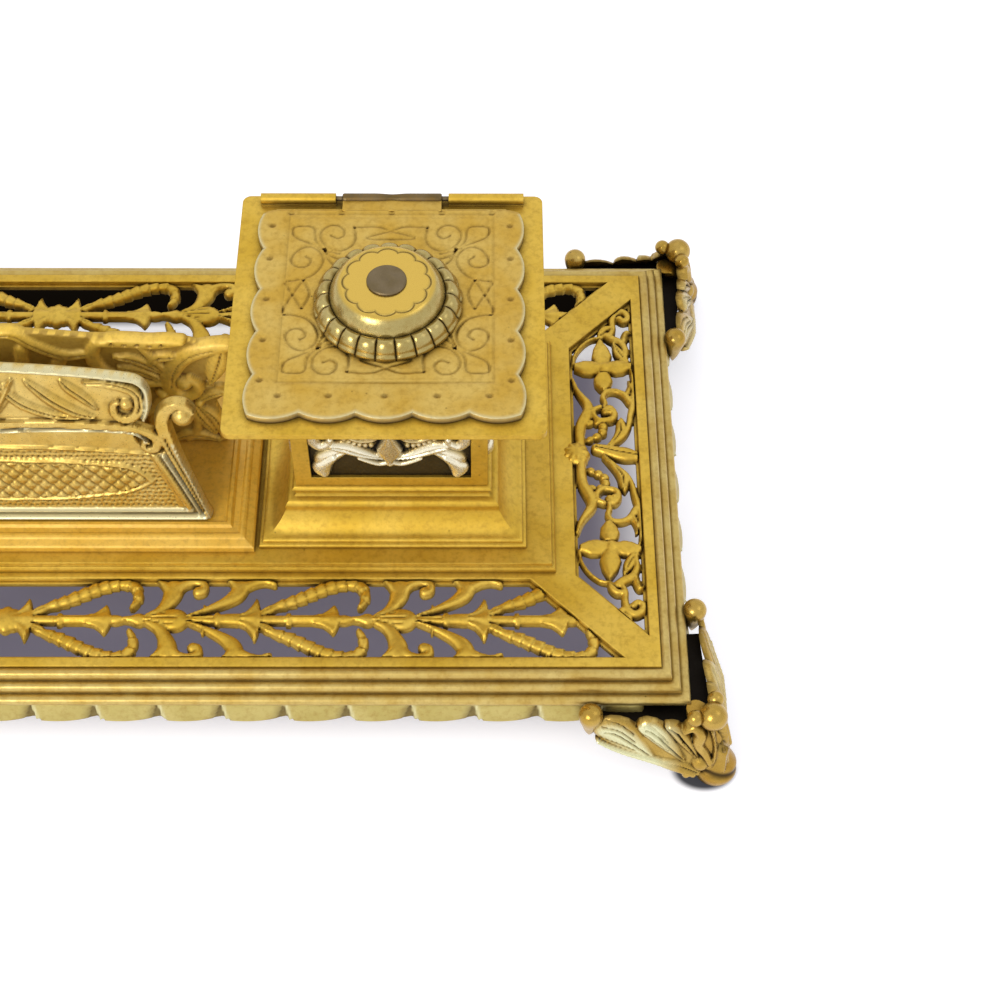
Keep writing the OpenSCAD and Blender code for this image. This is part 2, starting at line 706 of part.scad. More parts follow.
// The dome and its ring of gadroons, one turned piece and one ring of lobes
// Ring stations: radius, height, swell of each gadroon
ring_stations = [
    [dome_r - 1.4, 0, 0], [ring_r - 0.9, 0, 0.9], [ring_r - 0.6, 1.2, 0.6],
    [ring_r - 2.2, ring_h - 0.9, 0.5], [dome_r + 0.6, ring_h - 0.2, 0], [dome_r - 1.4, ring_h - 0.2, 0]
];
function lobe(a) = 0.5 + 0.5 * cos(gadroons * a);
module boss() color(brass_pale) translate([0, boss_y - well_y, lid_top]) {
    loft_ring([
        for (s = ring_stations) [
            for (j = [0:4 * gadroons - 1])
                let (a = 90 * j / gadroons, r = s[0] + s[2] * lobe(a))
                [r * cos(a), r * sin(a), s[1] + (s[2] > 0 && s[1] > 0 ? 0.7 * lobe(a) : 0)]
        ]
    ]);
    difference() {
        rotate_extrude($fn = 96) polygon(concat(
            [[0, 0], [dome_r - 0.6, 0], [dome_r, ring_h]],
            [
                for (a = [15:15:90])
                    [crown_r + (dome_r - crown_r) * cos(a), ring_h + (dome_h - ring_h) * sin(a)]
            ],
            [[0, dome_h]]
        ));
        translate([0, 0, -1]) cylinder(d = foot_screw_d + 2 * screw_gap, h = dome_h + 2);
    }
}
// A closed ring of rings, whose last station joins its first
module loft_ring(rings) {
    m = len(rings[0]);
    n = len(rings);
    polyhedron(
        points = [for (r = rings) each r],
        faces = [for (i = [0:n - 1]) for (j = [0:m - 1]) let (k = (i + 1) % n) each [
            [i * m + j, k * m + j, i * m + (j + 1) % m],
            [i * m + (j + 1) % m, k * m + j, k * m + (j + 1) % m]
        ]]
    );
}

module stud() color(steel) translate([0, boss_y - well_y, lid_z]) {
    cylinder(d = foot_screw_d, h = lid_t + dome_h);
    translate([0, 0, lid_t + dome_h]) rotate_extrude($fn = 48)
        polygon([[0, 0], [stud_d / 2, 0], [stud_d / 2, 0.4], [stud_d / 2 - 0.3, 0.7], [0, 0.7]]);
}

module hinge_pin() color(steel) {
    translate([0, hinge_back, hinge_z]) rotate([0, 90, 0])
        cylinder(d = pin_d, h = 2 * lid_half, center = true);
}

module liner() color(glass) {
    in_r = liner_r - liner_wall;
    low = plate_z - liner_deep;
    rotate_extrude($fn = 96) polygon([
        [0, low], [liner_r - 2, low], [liner_r, low + 2], [liner_r, plate_z],
        [flange_r, plate_z], [flange_r, plate_top - 0.5], [flange_r - 0.4, plate_top - 0.1],
        [in_r + 0.4, plate_top - 0.1], [in_r, plate_top - 0.5], [in_r, low + 4], [in_r - 1.6, low + 2.4],
        [0, low + 2.4]
    ]);
}

module bolt() color(steel) {
    translate([0, 0, floor_z - nut_h - 1.6]) cylinder(d = bolt_d, h = body_z + 2 - floor_z + nut_h + 1.6);
    translate([0, 0, body_z + 2]) cylinder(d = 2 * bolt_d, h = bolt_head);
    translate([0, 0, floor_z - nut_h]) cylinder(d = 2 * bolt_d, h = nut_h, $fn = 6);
}

module at_well(s) {
    translate([s * well_x, well_y, 0]) children();
}

// The tray: a slab with a small step and two raised bands round it
module rack_tray() color(brass) translate([0, tray_y, platform_z]) {
    moulded(tray_w, tray_d, [[0, 0], [0, tray_h - 0.9], [0.4, tray_h - 0.5], [1.9, tray_h]]);
    moulded_ring(tray_w, tray_d,
        [[1.9, tray_h - 1], [1.9, tray_h], [2.2, tray_h + 0.3], [2.7, tray_h + 0.5]],
        [[3.7, tray_h - 2], [3.7, tray_h], [3.3, tray_h + 0.5], [3.3, tray_h + 1]]);
    moulded_ring(tray_w, tray_d,
        [[5.1, tray_h - 1], [5.1, tray_h], [5.7, tray_h + 0.6]],
        [[6.9, tray_h - 2], [6.9, tray_h], [6.5, tray_h + 0.6], [6.5, tray_h + 1]]);
}

// The plaque in outline, drawn 92 wide and 46 high: sloping sides that end in outward volutes, and a
// crest of two scrolls over two small volutes
plaque_drawn = [92, 46];
module plaque_outline() {
    twice_x() {
        polygon([[0, 0], [46.2, 0], [46.4, 1.4], [38.8, 22], [31, 24], [28, 40], [12, 43], [0, 44]]);
        stroke([[43, 6, 1.6], [40, 16, 1.7], [37.6, 24, 1.8], [36.6, 30, 1.8], [38, 34.4, 1.8],
                [41, 34.6, 1.8], [42, 32, 2.6]]);
        stroke([[20, 26, 2], [27, 29, 1.8], [32.6, 28.2, 1.7], [34.6, 24.6, 1.6], [32.4, 23.4, 1.8]]);
        stroke([[29, 29, 1.4], [33, 31, 1.6], [34, 35.6, 1.7], [31.4, 40.6, 1.8], [25, 42.8, 1.8],
                [16, 41.6, 1.8], [8, 43.6, 1.8], [0, 45.4, 1.8]]);
    }
    translate([0, 42]) circle(r = 5, $fn = 32);
}
module rack_front() color(brass_pale) {
    translate([0, tray_y - plaque_y + plaque_t, tray_z]) rotate([90 - plaque_lean, 0, 0]) {
        linear_extrude(plaque_t) intersection() {
            offset(delta = 0.1) scale([plaque_w / plaque_drawn[0], plaque_h / plaque_drawn[1]])
                plaque_outline();
            translate([-far, plaque_t / 4]) square([2 * far, 2 * far]);
        }
    }
    translate([-plaque_w / 2 + 2, tray_y - plaque_y, tray_z]) cube([plaque_w - 4, plaque_t + 4, 1.4]);
}

// Half of the scroll panel that stands behind the plaque, drawn 94 wide at its foot and 41 high
back_drawn = [94, 41];
module back_half() {
    stroke([[52.6, 35.8, 1.3], [46.4, 34.8, 2.2], [41, 31.6, 2.5], [37.6, 27, 2.4], [36.8, 21, 2.3],
            [39.4, 16.2, 2.2], [43.6, 15.8, 2], [45.6, 19, 1.9], [43.6, 22.2, 1.8], [41, 21.4, 2.2]]);
    stroke([[46, 33.4, 1.5], [50.4, 28.6, 2.4], [50.2, 23, 2], [47.4, 19.6, 1.4]]);
    stroke([[38, 1, 2.2], [44.6, 4, 2.4], [47.2, 9, 2.2], [44.8, 15, 1.6]]);
    stroke([[33, 1, 2.4], [31.6, 8, 2.2], [34.4, 14, 2], [38, 17, 1.6]]);
    stroke([[36.6, 27, 1.8], [32, 31, 2.2], [31, 36, 2], [34.2, 39.4, 1.6]]);
    stroke([[34, 31, 1.6], [28, 29.6, 2.2], [22, 32.6, 2.2], [20.6, 37.6, 2], [24.6, 40, 1.9],
            [27.4, 37, 1.9]]);
    stroke([[32, 12, 1.6], [25.6, 10.4, 2.2], [20.4, 14.4, 2.2], [20.8, 20.6, 2], [25.6, 22.2, 1.9],
            [27.4, 18.4, 2.1]]);
    stroke([[21, 33, 1.7], [14, 32, 2.2], [8, 35.4, 2.2], [4, 39, 2], [0, 39.4, 1.6]]);
    stroke([[20.6, 18, 1.7], [14.4, 22, 2.2], [12, 28, 2.2], [14.6, 32.6, 1.6]]);
    stroke([[24, 1, 2.2], [15, 3.6, 2.2], [8, 9, 2.2], [5, 17, 2.2], [0, 22, 1.8]]);
    stroke([[0, 6, 2], [6.4, 12, 1.8], [13, 12, 1.8], [20.6, 15, 1.6]]);
    stroke([[0, 20, 2.2], [3.4, 27, 2.2], [4.6, 34, 2]]);
    square([back_drawn[0] / 2, 3]);
}
module rack_back() color(brass_pale) {
    foot = plaque_w / 2 + 1;
    translate([0, tray_y + back_t / 2, tray_z]) rotate([90, 0, 0]) linear_extrude(back_t) intersection() {
        offset(delta = 0.1) scale([2 * foot / back_drawn[0], back_h / back_drawn[1]]) twice_x() back_half();
        union() {
            translate([-foot, 0]) square([2 * foot, 2 * far]);
            translate([-far, 1]) square([2 * far, 2 * far]);
        }
    }
    translate([-foot, tray_y - back_t / 2 - 3, tray_z]) cube([2 * foot, back_t + 6, 1.4]);
}

base_frame();
platform();
apron(0);  // apron_front
apron(180);  // apron_back
apron(-90);  // apron_left
apron(90);  // apron_right
fret_front();
fret_back();
fret_left();
fret_right();
foot(-1, -1);  // foot_front_left
foot(1, -1);  // foot_front_right
foot(-1, 1);  // foot_back_left
foot(1, 1);  // foot_back_right
foot_screw(-1, -1);  // foot_screw_front_left
foot_screw(1, -1);  // foot_screw_front_right
foot_screw(-1, 1);  // foot_screw_back_left
foot_screw(1, 1);  // foot_screw_back_right
at_well(-1) plinth();  // plinth_left
at_well(1) plinth();  // plinth_right
at_well(-1) body();  // body_left
at_well(1) body();  // body_right
color(silvered) at_well(-1) mask_panel();  // mask_left_front
color(silvered) at_well(-1) rotate(180) mask_panel();  // mask_left_back
color(silvered) at_well(-1) rotate(-90) mask_panel();  // mask_left_outer
color(silvered) at_well(-1) rotate(90) mask_panel();  // mask_left_inner
color(silvered) at_well(1) mask_panel();  // mask_right_front
color(silvered) at_well(1) rotate(180) mask_panel();  // mask_right_back
color(silvered) at_well(1) rotate(90) mask_panel();  // mask_right_outer
color(silvered) at_well(1) rotate(-90) mask_panel();  // mask_right_inner
at_well(-1) top_piece();  // top_left
at_well(1) top_piece();  // top_right
at_well(-1) lid();  // lid_left
at_well(1) lid();  // lid_right
at_well(-1) boss();  // boss_left
at_well(1) boss();  // boss_right
at_well(-1) stud();  // stud_left
at_well(1) stud();  // stud_right
at_well(-1) hinge_pin();  // hinge_pin_left
at_well(1) hinge_pin();  // hinge_pin_right
at_well(-1) liner();  // liner_left
at_well(1) liner();  // liner_right
at_well(-1) bolt();  // bolt_left
at_well(1) bolt();  // bolt_right
rack_tray();
rack_front();
rack_back();
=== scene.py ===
import json
import math

import bpy
import numpy as np
from mathutils import Matrix, Vector
from mathutils.geometry import tessellate_polygon


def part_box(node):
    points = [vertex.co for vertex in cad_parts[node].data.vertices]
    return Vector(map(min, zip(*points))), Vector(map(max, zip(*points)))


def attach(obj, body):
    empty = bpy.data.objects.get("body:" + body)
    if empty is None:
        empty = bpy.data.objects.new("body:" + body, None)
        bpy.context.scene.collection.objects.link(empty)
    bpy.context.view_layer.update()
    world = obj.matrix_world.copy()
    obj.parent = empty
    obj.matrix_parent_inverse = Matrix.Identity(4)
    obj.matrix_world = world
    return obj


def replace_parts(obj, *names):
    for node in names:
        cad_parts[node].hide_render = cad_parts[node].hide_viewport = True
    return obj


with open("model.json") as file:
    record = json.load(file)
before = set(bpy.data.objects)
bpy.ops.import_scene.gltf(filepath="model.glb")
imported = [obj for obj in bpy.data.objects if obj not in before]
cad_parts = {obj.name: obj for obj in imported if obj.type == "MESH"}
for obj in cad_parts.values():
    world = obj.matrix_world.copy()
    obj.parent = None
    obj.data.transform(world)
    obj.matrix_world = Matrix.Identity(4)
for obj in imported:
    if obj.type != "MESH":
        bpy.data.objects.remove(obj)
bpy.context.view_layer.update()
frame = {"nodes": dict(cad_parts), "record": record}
nodes = frame["nodes"]
mm = 0.001


# Small helpers for colours, shader nodes and meshes

def colour(code):
    # sRGB hex to the linear values that a shader takes
    srgb = np.array([int(code[i:i + 2], 16) / 255 for i in (1, 3, 5)])
    linear = np.where(srgb <= 0.04045, srgb / 12.92, ((srgb + 0.055) / 1.055) ** 2.4)
    return (*linear.tolist(), 1.0)


def addNode(tree, kind, inputs=None, **settings):
    # one node with its settings; an input that is a socket gets linked, anything else is a value
    node = tree.nodes.new(kind)
    for name, value in settings.items():
        setattr(node, name, value)
    for key, value in (inputs or {}).items():
        if isinstance(value, bpy.types.NodeSocket):
            tree.links.new(value, node.inputs[key])
        else:
            node.inputs[key].default_value = value
    return node


def calculate(tree, operation, *values, clamp=False):
    return addNode(tree, "ShaderNodeMath", dict(enumerate(values)), operation=operation, use_clamp=clamp).outputs[0]


def mapRange(tree, value, *ends, soft=False):
    # ends: from low, from high, and to low, to high where they aren't 0 and 1
    inputs = {"Value": value, **{i + 1: end for i, end in enumerate(ends)}}
    return addNode(tree, "ShaderNodeMapRange", inputs,
                   interpolation_type="SMOOTHSTEP" if soft else "LINEAR").outputs[0]


def mixColours(tree, factor, first, second):
    # a colour is a socket or a hex code
    first, second = (colour(c) if isinstance(c, str) else c for c in (first, second))
    return addNode(tree, "ShaderNodeMix", {"Factor": factor, 6: first, 7: second}, data_type="RGBA").outputs[2]


def newMaterial(name):
    material = bpy.data.materials.new(name)
    material.use_nodes = True
    material.node_tree.nodes.clear()
    return material, material.node_tree


def heading(degrees):
    # cosine and sine of an angle in degrees
    return math.cos(math.radians(degrees)), math.sin(math.radians(degrees))


def middleOf(node):
    # the middle of a CAD node's box, in millimetres
    low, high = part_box(node)
    return [(low[k] + high[k]) / 2 / mm for k in range(3)]


def makeMesh(name, points, faceSets, material, body, sharp=40, recess=None, rub=None):
    # points in millimetres; faceSets are index arrays, one for each number of corners
    points = np.asarray(points, float).reshape(-1, 3) * mm
    faceSets = [np.asarray(f, int) for f in faceSets if len(f)]
    corners = np.concatenate([np.full(len(f), f.shape[1]) for f in faceSets])
    mesh = bpy.data.meshes.new(name)
    mesh.vertices.add(len(points))
    mesh.vertices.foreach_set("co", points.astype(np.float32).ravel())
    mesh.loops.add(int(corners.sum()))
    mesh.loops.foreach_set("vertex_index", np.concatenate([f.ravel() for f in faceSets]).astype(np.int32))
    mesh.polygons.add(len(corners))
    mesh.polygons.foreach_set("loop_start", (np.cumsum(corners) - corners).astype(np.int32))
    mesh.update(calc_edges=True)
    mesh.validate()
    mesh.polygons.foreach_set("use_smooth", np.ones(len(mesh.polygons), bool))
    if sharp:
        mesh.set_sharp_from_angle(angle=math.radians(sharp))
    for key, values in (("recess", recess), ("rub", rub)):
        if values is not None:
            mark = mesh.attributes.new(key, "FLOAT", "POINT")
            mark.data.foreach_set("value", np.asarray(values, np.float32).ravel())
    mesh.materials.append(material)
    piece = bpy.data.objects.new(name, mesh)
    bpy.context.scene.collection.objects.link(piece)
    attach(piece, body)
    return piece


def ringQuads(rings, around, closed=False):
    # quads between neighbouring rings of points; closed joins the last ring to the first
    i, j = np.meshgrid(np.arange(rings if closed else rings - 1), np.arange(around), indexing="ij")
    up, k = (i + 1) % rings, (j + 1) % around
    return np.stack([i * around + j, up * around + j, up * around + k, i * around + k], -1).reshape(-1, 4)


def tubeFaces(rings, around):
    # a tube of rings with a cap on each end
    first = np.arange(around)
    return [ringQuads(rings, around), first[None], ((rings - 1) * around + first)[::-1][None]]


# Camera at the photograph's angle

cameraValues = {
    "place": (0.109935, -0.277786, 0.403169),
    "lookDown": 54.622,  # degrees below the horizon
    "yaw": -0.386,
    "roll": 0.368,
    "lens": 69.54,
    "sensor": 36,
    "shift": (0.0072, -0.0125),
    "clip": (0.01, 20),
}


def makeCamera(v):
    down, yaw, roll = (math.radians(v[k]) for k in ("lookDown", "yaw", "roll"))
    right = Vector((math.cos(yaw), math.sin(yaw), 0))
    ahead = Vector((-math.sin(yaw) * math.cos(down), math.cos(yaw) * math.cos(down), -math.sin(down)))
    up = right.cross(ahead)
    side = right * math.cos(roll) + up * math.sin(roll)
    top = up * math.cos(roll) - right * math.sin(roll)
    data = bpy.data.cameras.new("camera")
    data.lens = v["lens"]
    data.sensor_width = v["sensor"]
    data.sensor_fit = "HORIZONTAL"
    data.shift_x, data.shift_y = v["shift"]
    data.clip_start, data.clip_end = v["clip"]
    camera = bpy.data.objects.new("camera", data)
    turn = Matrix(((side.x, top.x, -ahead.x), (side.y, top.y, -ahead.y), (side.z, top.z, -ahead.z)))
    camera.matrix_world = Matrix.Translation(v["place"]) @ turn.to_4x4()
    bpy.context.scene.collection.objects.link(camera)
    bpy.context.scene.camera = camera


makeCamera(cameraValues)
print("camera is set")


# Studio: white world, soft lamps, pale floor. The edges of the painted shade and shadows on the floor are given as
# distances from the middle of the stand in metres, where each starts and ends to fade.

studioValues = {
    "worldFill": 0.76,  # strength of the white world for diffuse light
    "lampTarget": (0.09, 0, 0.03),
    "lamps": [
        # place, size, power in watts, tint
        ((-0.45, -0.8, 0.7), 0.4, 6.0, "#fffaf0"),
        ((0.75, -0.1, 0.85), 0.5, 0.7, "#f2f5ff"),
        ((-0.1, 0.6, 0.9), 0.7, 0.3, "#ffffff"),
    ],
    "floorHalf": 3,
    "floorTone": "#e9e9ee",
    "floorGlow": 0.6,
    # painted shade: the floor under the base drawn bluish grey where it shows through the pierced panels
    "underShadeTone": "#74707f", "underShadeEnds": (0.135, 0.158),
    "underShadeBack": (0.046, 0.052), "underShadeFront": (-0.066, -0.045),
    # a painted deep shadow on the floor behind the back panel
    "shadowBandTone": "#0c0906", "bandNear": (0.0615, 0.0645), "bandFar": (0.0755, 0.082), "bandEnds": (0.14, 0.15),
    # a painted shadow under the front toes: middle, half width, half depth, and the fade in parts of them
    "toeShadowTone": "#14161f", "toeShadow": (0.1606, -0.0717, 0.0078, 0.0058), "toeFade": (0.75, 1.08, 0.95, 0.0),
}


def seenDirectly(tree):
    # 1 for rays from the camera and from mirrors, 0 for diffuse light
    path = addNode(tree, "ShaderNodeLightPath").outputs
    return calculate(tree, "MAXIMUM", path["Is Camera Ray"], path["Is Glossy Ray"]), path


def makeWorld(v):
    world = bpy.data.worlds.new("studio")
    world.use_nodes = True
    tree = world.node_tree
    tree.nodes.clear()
    seen, path = seenDirectly(tree)
    seen = calculate(tree, "MAXIMUM", seen, path["Is Transmission Ray"])
    power = addNode(tree, "ShaderNodeMapRange", {"Value": seen, "To Min": v["worldFill"], "To Max": 1.0})
    back = addNode(tree, "ShaderNodeBackground", {"Color": (1, 1, 1, 1), "Strength": power.outputs[0]})
    addNode(tree, "ShaderNodeOutputWorld", {"Surface": back.outputs[0]})
    bpy.context.scene.world = world


def makeLamps(v):
    target = Vector(v["lampTarget"])
    for i, (place, size, watts, tint) in enumerate(v["lamps"]):
        data = bpy.data.lights.new(f"softLamp{i + 1}", "AREA")
        data.shape = "SQUARE"
        data.size = size
        data.energy = watts
        data.color = colour(tint)[:3]
        lamp = bpy.data.objects.new(data.name, data)
        lamp.location = place
        lamp.rotation_euler = (target - Vector(place)).to_track_quat("-Z", "Y").to_euler()
        bpy.context.scene.collection.objects.link(lamp)


def floorTones(tree, v):
    # pale paper with painted shade under the base, a painted shadow band behind it and a painted shadow under the
    # toes
    xyz = addNode(tree, "ShaderNodeSeparateXYZ", {0: addNode(tree, "ShaderNodeTexCoord").outputs["Object"]}).outputs
    x, y = calculate(tree, "ABSOLUTE", xyz["X"]), xyz["Y"]
    times = lambda a, b: calculate(tree, "MULTIPLY", a, b)
    fadeOut = lambda value, ends, soft=True: mapRange(tree, value, *ends, 1.0, 0.0, soft=soft)
    underShade = times(fadeOut(y, v["underShadeBack"]), mapRange(tree, y, *v["underShadeFront"], soft=True))
    tone = mixColours(tree, times(fadeOut(x, v["underShadeEnds"]), underShade), v["floorTone"], v["underShadeTone"])
    band = times(mapRange(tree, y, *v["bandNear"]), fadeOut(y, v["bandFar"]))
    tone = mixColours(tree, times(band, fadeOut(x, v["bandEnds"], False)), tone, v["shadowBandTone"])
    toeX, toeY, toeWide, toeDeep = v["toeShadow"]
    across = calculate(tree, "DIVIDE", calculate(tree, "SUBTRACT", x, toeX), toeWide)
    along = calculate(tree, "DIVIDE", calculate(tree, "SUBTRACT", y, toeY), toeDeep)
    plan = addNode(tree, "ShaderNodeCombineXYZ", {0: across, 1: along}).outputs[0]
    away = addNode(tree, "ShaderNodeVectorMath", {0: plan}, operation="LENGTH").outputs["Value"]
    return mixColours(tree, mapRange(tree, away, *v["toeFade"], soft=True), tone, v["toeShadowTone"])


def makeFloor(v):
    material, tree = newMaterial("paleStudioFloor")
    tone = floorTones(tree, v)
    diffuse = addNode(tree, "ShaderNodeBsdfDiffuse", {"Color": tone})
    glow = calculate(tree, "MULTIPLY", seenDirectly(tree)[0], v["floorGlow"])
    light = addNode(tree, "ShaderNodeEmission", {"Color": tone, "Strength": glow})
    both = addNode(tree, "ShaderNodeAddShader", {0: diffuse.outputs[0], 1: light.outputs[0]})
    addNode(tree, "ShaderNodeOutputMaterial", {"Surface": both.outputs[0]})
    half = v["floorHalf"]
    mesh = bpy.data.meshes.new("floor")
    mesh.from_pydata([(-half, -half, 0), (half, -half, 0), (half, half, 0), (-half, half, 0)], [], [(0, 1, 2, 3)])
    mesh.materials.append(material)
    floor = bpy.data.objects.new("floor", mesh)
    bpy.context.scene.collection.objects.link(floor)


makeWorld(studioValues)
makeLamps(studioValues)
makeFloor(studioValues)
bpy.context.scene.view_settings.view_transform = "Standard"
print("studio is set")


# Materials. Each brass has two tones that drift over "cloud" mm, the colours of its dirt and painted shade, its
# pits and its rubbed metal and painted highlight, grain and bevel in mm, the ends of its roughness, how metallic it
# is, and how much painted shade darkens its corners.

brassValues = {
    # cast brass under aged golden lacquer: warm yellow, browner in the recesses, fine dark pits
    "castBrass": {
        "tones": ("#cba536", "#d7b44b"), "dirt": "#3a2408", "pit": "#6b5220",
        "cloud": 14, "rough": (0.38, 0.5), "metal": 0.78, "shade": 0.85,
    },
    # letter rack's tray: the same casting drawn lighter and less metallic, as painted light where the plaque and
    # panel shade it
    "trayBrassPaintedLight": {
        "tones": ("#e0b03a", "#e6ba4c"), "dirt": "#6a480f", "pit": "#8a5e18",
        "cloud": 11, "rough": (0.34, 0.46), "metal": 0.2, "shade": 0.3,
    },
    # the rack's scroll panel: the same casting drawn lighter and less metallic, as painted light where it lies in
    # shade
    "panelBrassPaintedLight": {
        "tones": ("#eac24a", "#eec95c"), "dirt": "#6e4c14", "pit": "#8a6420",
        "cloud": 11, "rough": (0.38, 0.5), "metal": 0.2, "shade": 0.35,
    },
    # cast and stamped brass with its lacquer worn: paler and greener
    "paleBrass": {
        "tones": ("#c49e40", "#ceaf5c"), "dirt": "#43300f", "pit": "#6b5524",
        "cloud": 9, "rough": (0.36, 0.48), "metal": 0.8, "shade": 0.7, "rub": "#d6cfa6",
    },
    # dome and gadroons: polished by hands, greyer and shinier than the lid round them
    "bossBrass": {
        "tones": ("#ab985c", "#b6a56c"), "dirt": "#3a2a12", "pit": "#6b5a30",
        "cloud": 9, "rough": (0.2, 0.32), "bevel": 0.2, "metal": 0.9, "shade": 0.7, "rub": "#ccab50",
    },
    # stamped apron: thin sheet, worn paler and greener than the castings
    "apronBrass": {
        "tones": ("#b3a25c", "#beae6a"), "dirt": "#57431f", "pit": "#6b5a2c",
        "cloud": 9, "rough": (0.36, 0.48), "bevel": 0.2, "metal": 0.74, "shade": 0.5, "rub": "#d6d0a0",
    },
    # cast relief with silvery high points, rubbed metal and painted highlight, over a dark ground that is partly
    # painted shade
    "silveredBrass": {
        "tones": ("#b59a56", "#c4ad70"), "dirt": "#150e07", "pit": "#2a1f10", "rub": "#e0d9bf",
        "cloud": 4, "grain": 0.4, "rough": (0.2, 0.34), "bevel": 0.15, "metal": 0.8, "shade": 0.6,
    },
    # rolled hinge knuckles, never lacquered: a dull grey brown
    "hingeBrass": {
        "tones": ("#645435", "#746242"), "dirt": "#2a2012", "pit": "#3b2f1c",
        "cloud": 5, "grain": 0.4, "rough": (0.34, 0.48), "bevel": 0.2,
    },
    # the plaque: yellow bands with silvery rubbed rims
    "plaqueBrass": {
        "tones": ("#c8a54a", "#d2b566"), "dirt": "#43300f", "pit": "#6b5524", "rub": "#d6d2ae",
        "cloud": 9, "grain": 0.4, "rough": (0.26, 0.4), "bevel": 0.15, "metal": 0.7, "shade": 0.6,
    },
    # leaf feet: orange in the hollows, greenish silver on the leaves, rubbed where hands and cloths reach and
    # painted as highlight
    "footBrass": {
        "tones": ("#ac8a38", "#bd9f54"), "dirt": "#130d06", "pit": "#3a2a12", "rub": "#d6d4a8",
        "cloud": 6, "grain": 0.4, "rough": (0.22, 0.34), "bevel": 0.15, "metal": 0.85, "shade": 0.75,
    },
    "toeBrass": {
        "tones": ("#a07a28", "#b08d3e"), "dirt": "#1c130a", "pit": "#3a2a12",
        "cloud": 5, "grain": 0.4, "rough": (0.2, 0.32),
    },
    # reeds round the base: worn paler than the flat rim
    "reedBrass": {
        "tones": ("#bda054", "#c8b16c"), "dirt": "#3a2a12", "pit": "#6b5a30",
        "cloud": 7, "grain": 0.4, "rough": (0.34, 0.46), "bevel": 0.15, "metal": 0.8, "shade": 0.35,
    },
    # dull brown steel, turned and then oxidised
    "dullSteel": {
        "tones": ("#6f6044", "#7c6d54"), "dirt": "#241b12", "pit": "#2c2318",
        "cloud": 3, "grain": 0.3, "rough": (0.42, 0.55), "bevel": 0.25, "stain": "#574a36",
    },
}

# what every brass shares, unless its own values say otherwise
patinaValues = {
    "cloudEnds": (0.36, 0.64), "grain": 0.5, "bevel": 0.3,
    # lacquer gone brown in small uneven specks and patches
    "stain": "#8f6a20", "stainSize": 1.5, "stainEnds": (0.46, 0.7, 0.0, 0.4),
    # pits: small dark dots in about one cell of four, each a little paler or darker than the next
    "pitCell": 3.4, "pitChance": (0.7, 1.0, 0.0, 0.9), "pitEnds": (0.03, 0.09, 1.0, 0.0),
    # painted shade in corners near other metal
    "shadeReach": 3, "shadeEnds": (0.25, 0.8), "shade": 0.85,
    "grainEnds": (0.3, 0.7), "dirtRough": 0.25, "bump": (0.25, 0.05), "metal": 0.85,
}


def brass(name, v, p):
    v = {**p, **v}
    material, tree = newMaterial(name)
    place = addNode(tree, "ShaderNodeTexCoord").outputs["Object"]
    noise = lambda size, detail, rough=0.5: addNode(tree, "ShaderNodeTexNoise", {
        "Vector": place, "Scale": 1000 / size, "Detail": detail, "Roughness": rough}).outputs[0]
    grain = noise(v["grain"], 2.0)
    tone = mixColours(tree, mapRange(tree, noise(v["cloud"], 4.0), *v["cloudEnds"]), *v["tones"])
    stain = mapRange(tree, noise(v["stainSize"], 5.0, 0.7), *v["stainEnds"])
    tone = mixColours(tree, stain, tone, v["stain"])
    cell = addNode(tree, "ShaderNodeTexVoronoi", {"Vector": place, "Scale": 1000 / v["pitCell"]}).outputs
    chance = addNode(tree, "ShaderNodeSeparateColor", {0: cell["Color"]}).outputs[0]
    chance = mapRange(tree, chance, *v["pitChance"])
    pit = calculate(tree, "MULTIPLY", mapRange(tree, cell["Distance"], *v["pitEnds"]), chance)
    tone = mixColours(tree, pit, tone, v["pit"])
    # painted shade near other metal, and dirt where a piece marks its own recesses; those marks also hold painted
    # shade on the apron, the masks, the foot webs and the legs
    shade = addNode(tree, "ShaderNodeAmbientOcclusion", {"Distance": v["shadeReach"] * mm}, samples=6).outputs["AO"]
    mark = addNode(tree, "ShaderNodeAttribute", attribute_name="recess").outputs["Fac"]
    dirt = calculate(tree, "ADD", mapRange(tree, shade, *v["shadeEnds"], v["shade"], 0.0), mark, clamp=True)
    tone = mixColours(tree, dirt, tone, v["dirt"])
    # rubbed metal, and a painted highlight where a piece marks one
    if "rub" in v:
        worn = addNode(tree, "ShaderNodeAttribute", attribute_name="rub").outputs["Fac"]
        tone = mixColours(tree, worn, tone, v["rub"])
    rough = mapRange(tree, grain, *v["grainEnds"], *v["rough"])
    rough = calculate(tree, "MULTIPLY_ADD", dirt, v["dirtRough"], rough)
    bevel = addNode(tree, "ShaderNodeBevel", {"Radius": v["bevel"] * mm}, samples=4).outputs[0]
    strength, depth = v["bump"]
    bump = addNode(tree, "ShaderNodeBump", {
        "Strength": strength, "Distance": depth * mm, "Height": grain, "Normal": bevel}).outputs[0]
    skin = addNode(tree, "ShaderNodeBsdfPrincipled", {
        "Base Color": tone, "Metallic": v["metal"], "Roughness": rough, "Normal": bump})
    addNode(tree, "ShaderNodeOutputMaterial", {"Surface": skin.outputs[0]})
    return material


glassValues = {
    "tones": ("#e6eee6", "#f2f6f0"), "wave": 6, "bump": (0.2, 0.3), "rough": 0.06, "refraction": 1.5,
}


